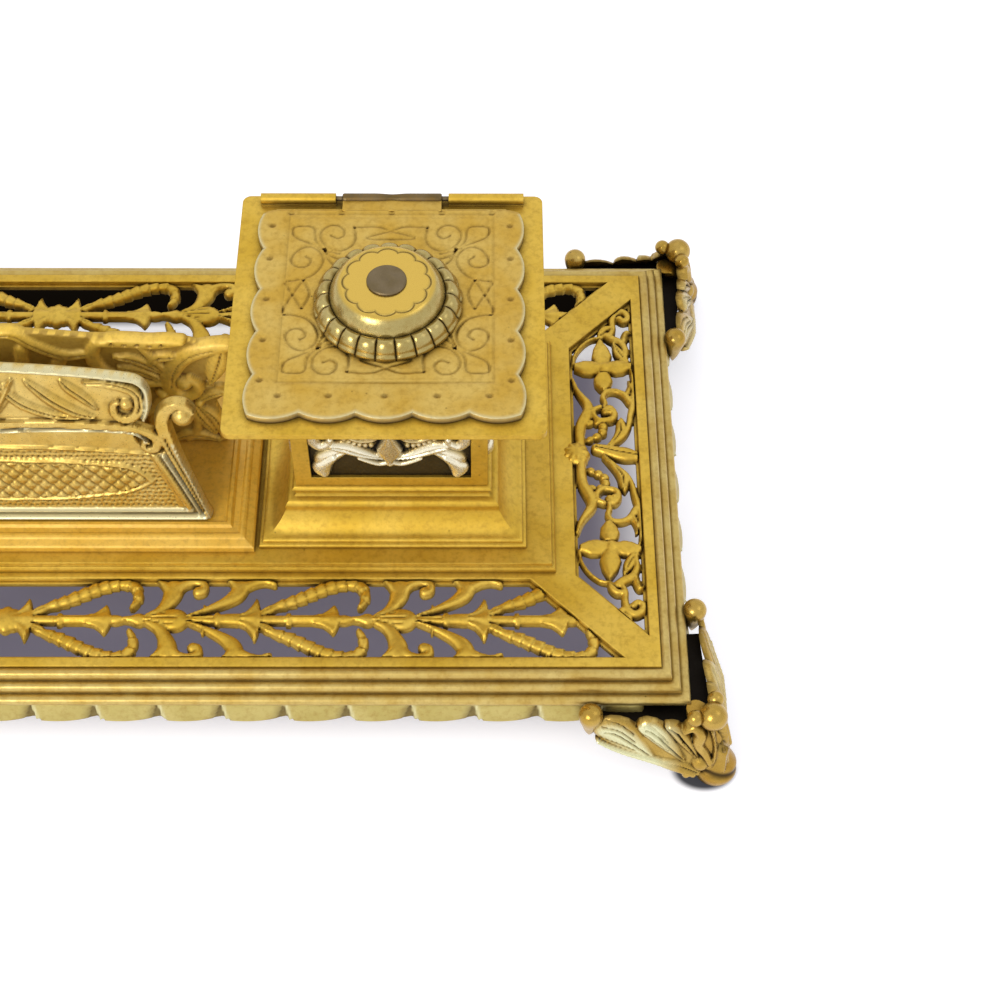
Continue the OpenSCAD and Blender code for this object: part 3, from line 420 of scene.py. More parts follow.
def linerGlass(v):
    # clear pressed glass: a faint green body, the wall a little wavy
    material, tree = newMaterial("pressedGlass")
    place = addNode(tree, "ShaderNodeTexCoord").outputs["Object"]
    wave = addNode(tree, "ShaderNodeTexNoise", {
        "Vector": place, "Scale": 1000 / v["wave"], "Detail": 1.0}).outputs[0]
    strength, depth = v["bump"]
    bump = addNode(tree, "ShaderNodeBump", {
        "Strength": strength, "Distance": depth * mm, "Height": wave}).outputs[0]
    skin = addNode(tree, "ShaderNodeBsdfPrincipled", {
        "Base Color": mixColours(tree, wave, *v["tones"]), "Roughness": v["rough"], "IOR": v["refraction"],
        "Transmission Weight": 1.0, "Normal": bump})
    addNode(tree, "ShaderNodeOutputMaterial", {"Surface": skin.outputs[0]})
    return material


finishes = {key: brass(name, brassValues[values], patinaValues) for key, name, values in (
    ("cast_brass", "castBrassAgedLacquer", "castBrass"),
    ("pale_brass", "castBrassWornPale", "paleBrass"),
    ("silvered_brass", "castReliefRubbed", "silveredBrass"),
    ("steel", "turnedSteelDull", "dullSteel"),
    ("tray", "castTrayPaintedLight", "trayBrassPaintedLight"),
    ("panel", "castPanelPaintedLight", "panelBrassPaintedLight"),
    ("apron", "stampedBrassWorn", "apronBrass"),
    ("boss", "castBossPolished", "bossBrass"),
    ("hinge", "rolledBrassDull", "hingeBrass"),
    ("plaque", "castPlaqueWorn", "plaqueBrass"),
    ("foot", "castFootWorn", "footBrass"),
    ("toe", "castToeGolden", "toeBrass"),
    ("reeds", "castReedsWorn", "reedBrass"),
)}
finishes["liner_glass"] = linerGlass(glassValues)
slots = {part["node"]: part["material_slot"] for part in frame["record"]["subparts"]}
for nodeName, obj in nodes.items():
    obj.data.materials.clear()
    obj.data.materials.append(finishes["tray" if nodeName == "rack_tray" else slots[nodeName]])
print("materials are set")


# Relief: ornament drawn as strokes on a grid, then turned into a solid casting. Everything is in
# millimetres from here on.

def smoothLine(points, steps):
    # Catmull-Rom curve through points of [x, y, half width], its end points repeated
    p = np.array(points, float)
    p = np.vstack([p[:1], p, p[-1:]])
    t = np.linspace(0, 1, steps, endpoint=False)[:, None]
    a, b, c, d = (p[k:len(p) - 3 + k, None] for k in range(4))
    curve = 0.5 * (2 * b + (c - a) * t + (2 * a - 5 * b + 4 * c - d) * t ** 2 + (3 * b - a - 3 * c + d) * t ** 3)
    return np.vstack([curve.reshape(-1, p.shape[1]), p[-1:]])


def newField(x0, x1, y0, y1, step):
    # a grid: gap is the distance to the outline, negative inside it, and rise is the height
    xs = np.arange(x0, x1 + step / 2, step)
    ys = np.arange(y0, y1 + step / 2, step)
    shape = (len(ys), len(xs))
    return {"x": xs, "y": ys, "step": step, "gap": np.full(shape, 9.0), "rise": np.zeros(shape)}


def windowOf(field, low, high):
    # the part of the grid between two corners, with its x and y
    s = field["step"]
    i0, i1 = (int(np.clip((v - field["x"][0]) / s, 0, len(field["x"]))) for v in (low[0], high[0] + 2 * s))
    j0, j1 = (int(np.clip((v - field["y"][0]) / s, 0, len(field["y"]))) for v in (low[1], high[1] + 2 * s))
    part = (slice(j0, j1), slice(i0, i1))
    return part, *np.meshgrid(field["x"][i0:i1], field["y"][j0:j1])


def press(field, part, gap, rise, cut=False):
    # adds a form to the casting; cut only sinks a line into it
    if cut:
        field["rise"][part] -= np.where(gap < 0, rise, 0)
        return
    field["rise"][part] = np.maximum(field["rise"][part], np.where(gap < 0, rise, 0))
    field["gap"][part] = np.minimum(field["gap"][part], gap)


formValues = {
    # of one cup or bead of a stroke: the least and the added part of its width and of its height
    "huskWide": (0.74, 0.26), "huskHigh": (0.62, 0.38), "beadWide": (0.35, 0.65),
    "groove": (0.4, 0.22),  # of a vein: depth, half width
    "smooth": 6,  # steps of a curve between two of its points
}


def addStroke(field, points, high=1.0, form="round", pitch=2.4, cut=False):
    # a band along a curve: q runs from 0 on its middle line to 1 on its edge, run is the way along it.
    # round: high * sqrt(1 - q^2); vein: the same with a groove down the middle; ridge: high * (1 - q);
    # husk: overlapping cups, each widening over one pitch; bead: a row of balls; rim: round and rubbed
    v = formValues
    line = smoothLine(points, v["smooth"])
    reach = line[:, 2].max() + 3 * field["step"]
    part, gx, gy = windowOf(field, line[:, :2].min(0) - reach, line[:, :2].max(0) + reach)
    if gx.size == 0:
        return
    best, off, wide, run = (np.full(gx.shape, v) for v in (9.0, 9.0, 1.0, 0.0))
    way = 0.0
    for a, b in zip(line[:-1], line[1:]):
        d = b[:2] - a[:2]
        size = float(d @ d) or 1e-9
        t = np.clip(((gx - a[0]) * d[0] + (gy - a[1]) * d[1]) / size, 0, 1)
        w = a[2] + t * (b[2] - a[2])
        dist = np.hypot(gx - a[0] - t * d[0], gy - a[1] - t * d[1])
        near = dist - w < best
        best, off, wide = np.where(near, dist - w, best), np.where(near, dist, off), np.where(near, w, wide)
        run = np.where(near, way + t * math.sqrt(size), run)
        way += math.sqrt(size)
    phase = run / pitch % 1
    least = lambda key, part: v[key][0] + v[key][1] * part
    if form == "husk":
        wide = wide * least("huskWide", phase)
        lift = least("huskHigh", phase)
    elif form == "bead":
        wide = wide * least("beadWide", np.sqrt(np.clip(1 - (2 * phase - 1) ** 2, 0, 1)))
        lift = wide / wide.max()
    else:
        lift = 1.0
    q = np.clip(off / np.maximum(wide, 1e-3), 0, 1)
    deep, half = v["groove"]
    rise = {
        "ridge": 1 - 0.75 * q - 0.25 * q ** 2,
        "vein": np.sqrt(1 - q ** 2) - deep * np.exp(-(off / half) ** 2),
        "flat": np.minimum(1, 3 * (1 - q)),
    }.get(form, np.sqrt(1 - q ** 2))
    press(field, part, off - wide, high * lift * rise, cut)
    if form == "rim":
        field["rub"][part] = np.maximum(field["rub"][part], off < wide)


def addPetal(field, x, y, angle, stations, high=1.0, flutes=0, cup=0.0):
    # a form that grows along its own axis: stations give [way along, half width], and its end is cut
    # off square, drawn out by cup in the middle; flutes are ridges that fan out along it
    stations = np.array(stations, float)
    reach = stations[-1, 0] + stations[:, 1].max() + 1
    part, gx, gy = windowOf(field, (x - reach, y - reach), (x + reach, y + reach))
    if gx.size == 0:
        return
    c, s = heading(angle)
    along, across = (gx - x) * c + (gy - y) * s, (gy - y) * c - (gx - x) * s
    wide = np.maximum(np.interp(along, stations[:, 0], stations[:, 1]), 0.02)
    q = np.clip(np.abs(across) / wide, 0, 1)
    end = stations[-1, 0] + cup * (1 - q ** 2)
    gap = np.maximum.reduce([np.abs(across) - wide, along - end, -along + stations[0, 0]])
    rise = np.sqrt(1 - 0.92 * q ** 2)
    if flutes:
        rise = rise * (0.82 + 0.18 * np.cos(math.pi * flutes * q))
    press(field, part, gap, high * rise)


def addBall(field, x, y, radius, high=1.0, lobes=0):
    # a dome, cut into petals where lobes are given
    part, gx, gy = windowOf(field, (x - radius - 1, y - radius - 1), (x + radius + 1, y + radius + 1))
    r = np.hypot(gx - x, gy - y)
    edge = radius
    if lobes:
        edge = radius * (0.86 + 0.14 * np.abs(np.cos(lobes / 2 * np.arctan2(gy - y, gx - x))))
    q = np.clip(r / edge, 0, 1)
    press(field, part, r - edge, high * np.sqrt(1 - q ** 2))


def blur(grid, times):
    for _ in range(times):
        g = np.pad(grid, 1, mode="edge")
        grid = (g[:-2, 1:-1] + g[2:, 1:-1] + g[1:-1, :-2] + g[1:-1, 2:] + 2 * g[1:-1, 1:-1]) / 6
    return grid


castValues = {
    # how far an outer point may move onto the outline in steps, and the part of its height that it keeps
    "reach": 0.7, "rimHigh": 0.25,
    # dirt lies where a place is lower than what is round it: rounds of blur, how strongly it shows, and
    # the least that shows; dirt and painted shade on the ground between the ornament; and on the sides and back
    "hollow": (6, 2.2, 0.06), "bareDirt": 0.9, "backDirt": 0.5,
}


def castRelief(name, field, place, depth, material, body, edge=0.0, flip=False, dirt=1.0, sharp=50):
    # keeps the grid cells inside the outline, draws their outer corners onto it, lifts the front by
    # edge + rise, sets the back depth behind it and closes the sides; place(x, y, height) gives the
    # place in the stand of a point of the grid
    v, gap, rise, s = castValues, field["gap"], field["rise"], field["step"]
    gx, gy = np.meshgrid(field["x"], field["y"])
    keep = (gap[:-1, :-1] + gap[1:, :-1] + gap[:-1, 1:] + gap[1:, 1:]) < 0
    around = np.pad(keep, 1).astype(int)
    count = around[:-1, :-1] + around[1:, :-1] + around[:-1, 1:] + around[1:, 1:]
    rim = (count > 0) & (count < 4)
    dy, dx = np.gradient(gap, s)
    steep, most = np.maximum(dx ** 2 + dy ** 2, 0.05), v["reach"] * s
    px, py = (g - np.where(rim, np.clip(gap * d / steep, -most, most), 0) for g, d in ((gx, dx), (gy, dy)))
    height = edge + np.where(rim, v["rimHigh"] * rise, rise)
    rounds, strong, least = v["hollow"]
    recess = dirt * np.clip((blur(rise, rounds) - rise) * strong - least, 0, 1) * ~rim
    used = count > 0
    number = np.cumsum(used.ravel()).reshape(used.shape) - 1
    total = int(used.sum())
    top = place(px[used], py[used], height[used])
    low = place(px[used], py[used], np.full(total, -depth))
    points = np.concatenate([np.stack(top, 1), np.stack(low, 1)])
    a, b, c, d = number[:-1, :-1][keep], number[:-1, 1:][keep], number[1:, 1:][keep], number[1:, :-1][keep]
    faces = [np.stack([a, b, c, d], 1), np.stack([d, c, b, a], 1) + total]
    inner = around[1:-1, 1:-1] > 0
    sides = (around[:-2, 1:-1], a, b), (around[1:-1, 2:], b, c), (around[2:, 1:-1], c, d), (around[1:-1, :-2], d, a)
    for beside, p, q in sides:
        bare = (beside == 0)[inner]
        faces.append(np.stack([q[bare], p[bare], p[bare] + total, q[bare] + total], 1))
    quads = np.concatenate(faces)
    if flip:
        quads = quads[:, ::-1]
    # the dark ground is dirt, and painted shade in the apron's valleys and between the masks' strokes
    if "bare" in field:  # the ground between the ornament is dark
        recess = np.maximum(recess, v["bareDirt"] * field["bare"])
    marks = np.concatenate([recess[used], np.full(total, v["backDirt"] * dirt)])
    rub = None
    if "rub" in field:  # where handling has rubbed the lacquer down to silvery metal, and where a painted highlight lies
        rub = np.concatenate([field["rub"][used], np.zeros(total)])
    return makeMesh(name, points, [quads], material, body, sharp, marks, rub)


def mirrored(points, sx, sy, x0=0.0, y0=0.0, bold=1.0):
    # points moved to x0, y0, mirrored where sx or sy is -1, and their half widths times bold
    return [[x0 + sx * p[0], y0 + sy * p[1], *(bold * w for w in p[2:])] for p in points]


def drawBothSides(field, v, bold=1.0, pitch=2.4):
    # the right half and its mirror image: strokes of form, height and points, balls of x, y, radius and
    # height, and grooves
    for sx in (1, -1):
        for form, high, points in v["strokes"]:
            addStroke(field, mirrored(points, sx, 1, bold=bold), high, form, pitch)
        for x, y, radius, high in v["balls"]:
            addBall(field, sx * x, y, radius, high)
        for points in v["grooves"]:
            addStroke(field, mirrored(points, sx, 1), 0.5, cut=True)


# Pierced panels of the base: the windows between its rim, its inner strips and its corner bars. Their
# outer and inner edges are ways from the middle, and barHalf is how far from a corner a window starts.

windowValues = {
    "outX": 147.3, "outY": 56.2, "inX": 131.1, "inY": 35.2, "barHalf": 5.87, "edge": 0.7,
    "thick": 2.2, "relief": 1.0,  # a panel's thickness, and the part of it that the strokes make
}


def clipTo(field, corners, ledge):
    # cuts the ornament off at a convex window and leaves a low ledge round the inside of it
    gx, gy = np.meshgrid(field["x"], field["y"])
    corners = np.array(corners, float)
    out = np.full(gx.shape, -99.0)
    for p, q in zip(corners, np.roll(corners, -1, 0)):
        d = (q - p) / np.hypot(*(q - p))
        out = np.maximum(out, (gx - p[0]) * d[1] - (gy - p[1]) * d[0])
    field["gap"] = np.maximum(np.minimum(field["gap"], -out - ledge), out)


longValues = {
    "step": 0.38, "repeat": 52.5, "repeats": 3, "firstBud": 27.8, "axisY": 45.7, "high": 1.25, "bold": 1.25,
    "rosette": (3.6, 1.1, 8),  # in the middle of the panel: radius, height, lobes
    # strokes of one repeat above its axis: way from the bud's foot, height over the axis, half width
    "scrolls": [
        [(4.4, 0.9, .5), (7.2, 2.3, 1.0), (8.9, 4.7, 1.35), (9.8, 7.2, 1.8), (10, 9.0, 1.6)],
        [(9.4, 7.6, 1.4), (8.0, 9.1, .9), (6.4, 10, .3)],
        [(10.6, 8.2, 1.3), (12.4, 9.5, .9), (14.9, 10, .8), (16.9, 9.3, .8), (16.8, 7.7, .85), (15.7, 7.5, 1.1)],
        [(14, 1.0, .3), (17, 2.1, .55), (19.5, 3.3, .8), (22.4, 4.9, 1.1), (24.6, 6.8, 1.5), (25.5, 8.8, 1.6)],
        [(17.8, 2.6, .5), (17.4, 3.8, .2)],
        [(25.1, 8.1, 1.4), (23.8, 9.6, .8), (22.6, 10.2, .3)],
        [(25.9, 8.8, 1.2), (28.6, 9.8, .8), (31.1, 10.2, .7), (33.2, 9.4, .5)],
    ],
    "bud": [(3.4, 0, .6), (5.2, 0, 1.0), (8.6, 0, 2.3), (10.8, 0, 2.9), (12.3, 0, 1.7), (13.6, 0, .25)],
    "husk": [(-.6, 0, .7), (1.2, 0, 1.1), (2.6, 0, 1.7)],
    "stem": [(13.2, 0, .45), (16, 0, .85), (20, 0, 1.3)],
    "strand": [
        (33.6, 3.4, 1.0), (38, 5.1, 1.35), (41.6, 6.9, 1.4), (45, 8.5, 1.35), (48.5, 9.6, 1.3), (51.2, 9.8, 1.25),
        (53.4, 8.8, 1.2), (54.4, 6.9, 1.1), (54.1, 4.8, .95), (53.3, 3.2, .6),
    ],
    "strandLeaf": [(30.6, 1.6, .5), (32.4, 2.6, .9), (34.2, 3.4, .5)],
    "budVein": [(4.6, .5, .12), (8.4, 1.3, .14), (11.2, 1.5, .1)],
    # knob, tulip cup, stem, smaller cup and link after the stem of the bud; a cup has its place,
    # its stations, its flutes and how far its end is drawn out
    "middle": [
        ("cup", 0.95, 20, [(0, 1.3), (.3, 1.9), (1, 1.9), (1.2, 1.4), (3.2, 1.5), (5.6, 1.6)], 0, 0.0),
        ("cup", 1.0, 22.6, [(0, 1.2), (3, 1.5), (4.6, 2.3), (5.8, 3.9), (6.9, 6.0)], 3, 1.2),
        ("line", 0.7, [(30.2, 0, 1.0), (33, 0, 1.1), (36, 0, 1.1)]),
        ("cup", 0.95, 36.4, [(0, 1.7), (1, 1.8), (1.1, 1.2), (6, 1.2), (8.4, 1.7), (9.6, 2.6), (11, 4.1)], 2, 1.4),
        ("line", 0.8, [(47.8, 0, .9), (49.6, 0, 1.25), (51, 0, .9)]),
    ],
}


def drawRepeat(field, v, x0, sx, first=False):
    # one repeat of the scrolls from x0 on; the first one of each half has no bud
    for sy in (1, -1):
        put = lambda points, *args, **more: addStroke(
            field, mirrored(points, sx, sy, x0, -v["axisY"], v["bold"]), *args, **more)
        if not first:
            for scroll in v["scrolls"]:
                put(scroll, v["high"] * 0.86)
        put(v["strandLeaf"], v["high"] * 0.8, "vein")
        put(v["strand"], v["high"], "husk", 2.5)
    mid = lambda points, *args, **more: addStroke(field, mirrored(points, sx, 1, x0, -v["axisY"]), *args, **more)
    turn = 0 if sx > 0 else 180
    if not first:
        mid(v["bud"], v["high"] * 1.1, "vein")
        for k in (-1, 1):
            mid(mirrored(v["budVein"], 1, k), 0.3, "flat", cut=True)
        mid(v["husk"], v["high"] * 0.9)
        mid(v["stem"], v["high"] * 0.8, "vein")
    for form, high, *more in v["middle"]:
        if form == "line":
            mid(more[0], v["high"] * high)
        else:
            u, stations, flutes, cup = more
            addPetal(field, x0 + sx * u, -v["axisY"], turn, stations, v["high"] * high, flutes, cup)


def longPanel(v, w):
    field = newField(-w["outX"] + 5, w["outX"] - 5, -w["outY"] - .4, -w["inY"] + .4, v["step"])
    for sx in (1, -1):
        for k in range(v["repeats"]):
            drawRepeat(field, v, sx * (v["firstBud"] + (k - 1) * v["repeat"]), sx, first=k == 0)
    radius, high, lobes = v["rosette"]
    addBall(field, 0, -v["axisY"], radius, v["high"] * high, lobes)
    half = w["outX"] - w["barHalf"]
    inner = half - (w["outY"] - w["inY"])
    clipTo(field, [(-half, -w["outY"]), (half, -w["outY"]), (inner, -w["inY"]), (-inner, -w["inY"])], w["edge"])
    return field


shortValues = {
    "step": 0.33, "midX": 139.2, "midY": 1.3, "high": 1.3, "bold": 1.4, "petal": 1.75,
    # strokes of the half nearest the front: form, height, points from the middle of the window
    "strokes": [
        ("round", 1.0, [(-5.8, -.5, .77), (-6.1, -4.1, .95), (-5.7, -7.6, 1), (-4.6, -10, 1.1), (-3.7, -12.3, 1.05),
            (-4, -14.4, .9), (-5.2, -16.4, .72), (-6.5, -18.7, .55), (-7.4, -21.6, .4)]),
        ("vein", 1.0, [(-.4, .7, .4), (1.3, -1.4, .6), (2.9, -3.5, .8), (4, -5.6, 1), (4.2, -7.9, .9),
            (4.3, -9.9, .15)]),
        ("round", .8, [(1.5, -1.4, .4), (3.4, -3.2, .55), (5, -5, .55), (6.1, -7.6, .55), (6.6, -10.6, .6),
            (7.3, -13.5, .7), (7.7, -16.4, .65), (7.7, -19.9, .4), (7.4, -23.9, .3), (6.7, -26.7, .25)]),
        ("bead", .9, [(-4.4, -2.9, .6), (-2.9, -3.8, .7), (-1.3, -4.7, .8), (-.1, -6.4, .9), (-.9, -8.2, .8),
            (-2.4, -8.8, .7), (-3.8, -8.2, .5)]),
        ("round", 1.0, [(-.8, -13.2, .5), (-2.3, -12.3, .55), (-2.4, -10.6, .6), (-1.2, -9.1, .6), (.5, -9.1, .6),
            (2.2, -9.7, .7), (2.6, -11.5, .7), (1.6, -12.9, .7), (.6, -12, .9)]),
        ("round", .8, [(.3, -13.4, .4), (.5, -14.7, .5), (0, -16.4, .55), (.9, -18.1, .55), (3, -18.4, .55),
            (5.2, -17.3, .65), (6.7, -15, .75)]),
        ("ridge", .9, [(5.7, -16.7, .7), (6.6, -18.7, .6), (6.8, -20.4, .4), (6.5, -21.9, .12)]),
        ("round", .5, [(-7.2, -26.7, .35), (-6.6, -30.1, .35), (-4.8, -33.1, .35), (-2.5, -35.1, .35),
            (-.5, -35.6, .4), (.7, -36.2, .5)]),
        ("vein", .9, [(6.2, -27.8, .67), (4.6, -30.3, 1), (3.6, -32.6, .5), (3.1, -33.7, .15)]),
        ("round", .9, [(6.1, -28.4, .5), (6.2, -31.7, .65), (5, -34, .75), (3, -35.1, .85), (1.6, -36.2, .8)]),
        ("ridge", 1.0, [(5.7, -33.4, .6), (6.1, -35.6, .75), (6.7, -37.3, .6), (7.6, -36.9, .2)]),
        ("round", 1.0, [(-.5, -36.2, .25), (.2, -37.3, .6), (1.3, -38.4, .65), (2.9, -38.6, .5)]),
        ("round", .9, [(2.3, -36.2, .6), (3.2, -38.1, .6), (3.1, -40.6, .65), (3.6, -43, .7), (5.2, -44.3, .75),
            (6.8, -43.5, .75), (7.2, -41.9, .7), (6, -41.1, .6), (5.1, -41.9, .7)]),
        ("round", .7, [(2.8, -42.8, .6), (1.8, -44.2, .9), (3.4, -45.4, .9)]),
    ],
    "petals": [
        ((-.1, -18.4), -84, [(0, .35), (1.6, 1.15), (3.6, 1.4), (5.6, .9)]),
        ((0, -25.6), 184, [(0, .8), (2.6, 1.3), (4.6, 1.25), (7, .6)]),
        ((1, -25.8), -5, [(0, .8), (2.4, 1.25), (4.4, 1.15), (6.6, .4)]),
        ((.4, -26.2), -94, [(0, .8), (3.4, 1.5), (6, 1.1), (9, .12)]),
    ],
    "leaf": [(-2.2, 3.2, 1), (.2, 2.6, 1.3), (2.6, 1.9, 1.5), (5, 1.4, 1.6), (7.4, .9, 1.1), (9.4, .7, 1)],
    "pitch": 1.9, "leafBold": 1.3,
    "balls": [(.5, -25.7, 1.9, 1.25), (1.7, -11.6, .9, 1.2)],  # x, y, radius, height
    "head": (-7.2, 3.4, 2.2, 9, 0.16),  # x, radius, height, furrows and their depth
}


def shortPanel(v, w):
    field = newField(w["inX"] - 4, w["outX"] + .4, -w["outY"] + 2, w["outY"] - 2, v["step"])
    x0, mid = v["midX"], v["midY"]
    for sy in (1, -1):
        y0 = 0 if sy > 0 else 2 * mid
        for form, high, points in v["strokes"]:
            addStroke(field, mirrored(points, 1, sy, x0, y0, v["bold"]), v["high"] * high, form, v["pitch"])
        for (x, y), angle, stations in v["petals"]:
            addPetal(field, x0 + x, y0 + sy * y, sy * angle, [(a, b * v["petal"]) for a, b in stations], v["high"])
        for x, y, radius, high in v["balls"]:
            addBall(field, x0 + x, y0 + sy * y, radius, v["high"] * high)
    addStroke(field, mirrored(v["leaf"], 1, 1, x0, 0, v["leafBold"]), v["high"] * 1.1, "vein")
    half = w["outY"] - w["barHalf"]
    inner = half - (w["outX"] - w["inX"])
    clipTo(field, [(w["outX"], -half), (w["outX"], half), (w["inX"], inner), (w["inX"], -inner)], w["edge"])
    # the boss in the middle: a ball with furrows fanning out towards the platform
    headX, radius, high, furrows, deep = v["head"]
    part, gx, gy = windowOf(field, (x0 + headX - 5, mid - 5), (x0 + headX + 5, mid + 5))
    dx, dy = gx - x0 - headX, gy - mid
    r = np.hypot(dx, dy)
    furrow = deep * np.cos(furrows * np.arctan2(dy, dx)) * np.clip((r - 1) / 1.6, 0, 1)
    dome = np.sqrt(np.clip(1 - (r / (radius + 0.1)) ** 2, 0, 1))
    press(field, part, r - radius - furrow, high * dome * (1 + furrow))
    return field


def piercedPanels():
    low, top = (corner.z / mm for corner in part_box("fret_front"))
    base = min(top, low + windowValues["thick"]) - windowValues["relief"]  # the level that the strokes rise from
    long, short = longPanel(longValues, windowValues), shortPanel(shortValues, windowValues)
    for title, node, field, sx, sy in (("longFrontPanel", "fret_front", long, 1, 1),
                                       ("longBackPanel", "fret_back", long, 1, -1),
                                       ("endRightPanel", "fret_right", short, 1, 1),
                                       ("endLeftPanel", "fret_left", short, -1, 1)):
        piece = castRelief(title, field, lambda x, y, h: (sx * x, sy * y, base + h), base - low,
                           finishes["cast_brass"], "stand", edge=0.1, flip=sx * sy < 0)
        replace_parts(piece, node)


piercedPanels()
print("pierced panels are cast")


# Lids: scalloped plate with dimples and engraved scrolls, hinge knuckle with its tongue, boss

lidValues = {
    "step": 0.29, "wide": 60.6, "scallop": 1.7, "line": 0.38, "lineDeep": 0.3,
    "round": (0.5, 0.8), "worn": (0.8, 0.45),  # of its outer edge: how deep and how wide
    "centreY": 1.2, "bossY": 2.4, "drawnY": 3.0,  # the strokes were drawn about drawnY
    "border": (23.3, -19.2, 30.0),  # half width, front and back edge
    # the double line inside it: way in, depth, half width; how much the border stands up, and over what width
    "lines": ((0, 0.22, 0.35), (1, 0.12, 0.4)), "raised": (0.1, 1.5),
    "axisY": 5.4,  # the corner scrolls are mirrored about this line
    # strokes of the front left corner, from the middle of the lid and of the boss
    "volutes": [
        [(-8.3, -19.2), (-8, -15.7), (-9, -13.4), (-11.2, -12.2), (-13.8, -12.9), (-15.6, -15.1), (-15.9, -17.7),
            (-14.5, -19.6), (-12.3, -19.9), (-10.8, -18.6), (-10.7, -16.9), (-12, -16), (-13.5, -16.7)],
        [(-22.8, -3.1), (-20.4, -3.4), (-17.5, -4.6), (-15.6, -7), (-15, -9.8), (-16.2, -12.2), (-18.3, -13.4),
            (-20.8, -12.3), (-22.1, -9.9), (-21.8, -8.1), (-20.2, -7.2), (-18.5, -7.6), (-17.8, -9.2),
            (-18.9, -10.3)],
        [(-14.9, -12.6), (-16.9, -15.1), (-17.8, -19.3), (-22.1, -19.3), (-21.8, -16.5), (-18.7, -14.6),
            (-14.9, -12.6)],
        [(-14.9, -12.6), (-13.4, -10.6), (-11.2, -9.6)],
        [(-14.9, -12.6), (-14, -9.8), (-12.8, -8.2)],
        [(-14.9, -12.6), (-12.9, -11.8), (-11.4, -11.2)],
    ],
    "frontTies": [
        [(-8.3, -19.3), (-3.3, -19.5), (0, -18.2), (5.3, -15.9), (-5.3, -15.9), (0, -18.2), (3.3, -19.5),
            (8.3, -19.3)],
    ],
    "sideTies": [
        [(-22.8, -3.1), (-22.9, -0.6), (-19.2, 7.0)],
        [(-22.9, 6.2), (-22.6, 5), (-19.2, -1.4)],
        [(-19.1, 7.0), (-17.6, 2.6), (-19.1, -1.4)],
    ],
    # punched dimples: radius and depth, those along the front and back, and those along the sides
    "dimple": (1.0, 0.55),
    "endDimples": [
        (-22.9, -24.0), (-12, -24.0), (0, -24.0), (11.2, -24.0), (22.4, -24.0), (-23, 29.4), (-11.5, 29.4),
        (0, 29.4), (11.5, 29.4), (23, 29.4),
    ],
    "sideX": 27.1, "sideY": (-19.8, -8.6, 3.2, 15.2, 25.2),
    # middle knuckle: half length, radius, points round it, depth and width of the dent on its top
    "knuckle": (11.45, 1.25, 28, 0.16, 2.2),
}


def scallopGap(gx, gy, wide, drop):
    # distance to a square whose four sides are rows of five arcs
    pitch, half = wide / 5, wide / 2
    radius = (pitch ** 2 / 4 + drop ** 2) / (2 * drop)
    gap = np.full(gx.shape, -99.0)
    for along, out in ((gx, gy), (gx, -gy), (gy, gx), (gy, -gx)):
        mid = np.clip(np.round(along / pitch), -2, 2) * pitch
        deep = out - (half - radius)
        gap = np.maximum(gap, np.where(deep > 0, np.hypot(along - mid, deep) - radius, deep - radius))
    return np.where(gy > half - 3, np.maximum(gy - half, gap - drop * (np.abs(gx) < half - 4)), gap)


def lidField(v):
    edge = v["wide"] / 2 + 0.5
    field = newField(-edge, edge, -edge, edge, v["step"])
    gx, gy = np.meshgrid(field["x"], field["y"])
    field["gap"] = scallopGap(gx, gy, v["wide"], v["scallop"])
    deep, wide = v["round"]
    field["rise"] -= deep * np.clip(1 + field["gap"] / wide, 0, 1) ** 2
    # a double line round the border, which stands a little higher than the field inside it
    y = gy + v["centreY"]
    half, front, back = v["border"]
    inside = np.maximum(np.abs(gx) - half, np.maximum(front - y, y - back))
    field["rise"] -= sum(deep * np.exp(-((inside + way) / wide) ** 2) for way, deep, wide in v["lines"])
    high, wide = v["raised"]
    field["rise"] += high * np.clip(inside / wide, 0, 1)
    shift = v["drawnY"] - v["centreY"]

    def engrave(lines, sx, sy):
        y0 = 0 if sy > 0 else v["axisY"] + shift
        for line in lines:
            points = [[p[0], p[1] + shift, v["line"]] for p in line]
            addStroke(field, mirrored(points, sx, sy, 0, y0), v["lineDeep"], cut=True)

    for sx in (1, -1):
        engrave(v["volutes"], sx, 1)
        engrave(v["volutes"], sx, -1)
        engrave(v["sideTies"], sx, 1)
    for sy in (1, -1):
        engrave(v["frontTies"], 1, sy)
    radius, deep = v["dimple"]
    for x, y in v["endDimples"] + [(sx * v["sideX"], y) for sx in (1, -1) for y in v["sideY"]]:
        r = np.hypot(gx - x, gy - y)
        field["rise"] -= deep * np.clip(1 - (r / radius) ** 2, 0, 1)
    # a pale band along the outer edge: rubbed metal and painted highlight
    worn, wide = v["worn"]
    field["rub"] = worn * np.exp(-(field["gap"] / wide) ** 2) * (np.abs(gy) < edge - 0.2) * (gy < edge - 2)
    return field


bossValues = {
    "gadroons": 22, "groove": 0.9, "lobes": 12,
    "grooveStart": (12.9, 1.2, 0.6),  # radius where a groove starts; it deepens over this width and height
    # profiles from the middle out: radius, height over the lid
    "ring": [
        (12.4, 0), (12.7, 3.4), (13.2, 4.2), (14.1, 4.5), (15.0, 4.0), (15.8, 2.9), (16.1, 2.1), (16.35, 1.7),
        (16.6, 1.2), (16.5, 0.5), (16.2, 0),
    ],
    "dome": [(12.9, 0), (12.85, 3.2), (12.6, 4.4), (12.1, 5.6), (11.5, 6.6), (10.9, 7.3), (10.4, 7.7), (9.95, 7.9)],
    "crown": (7.9, 0.06, 7.0, 7.2),  # height at its rim, its swell, where its engraving and its yellower top start
    "line": (8.7, 1.0, 0.3),  # radius of the scalloped line between its lobes, how far they reach out, depth
}


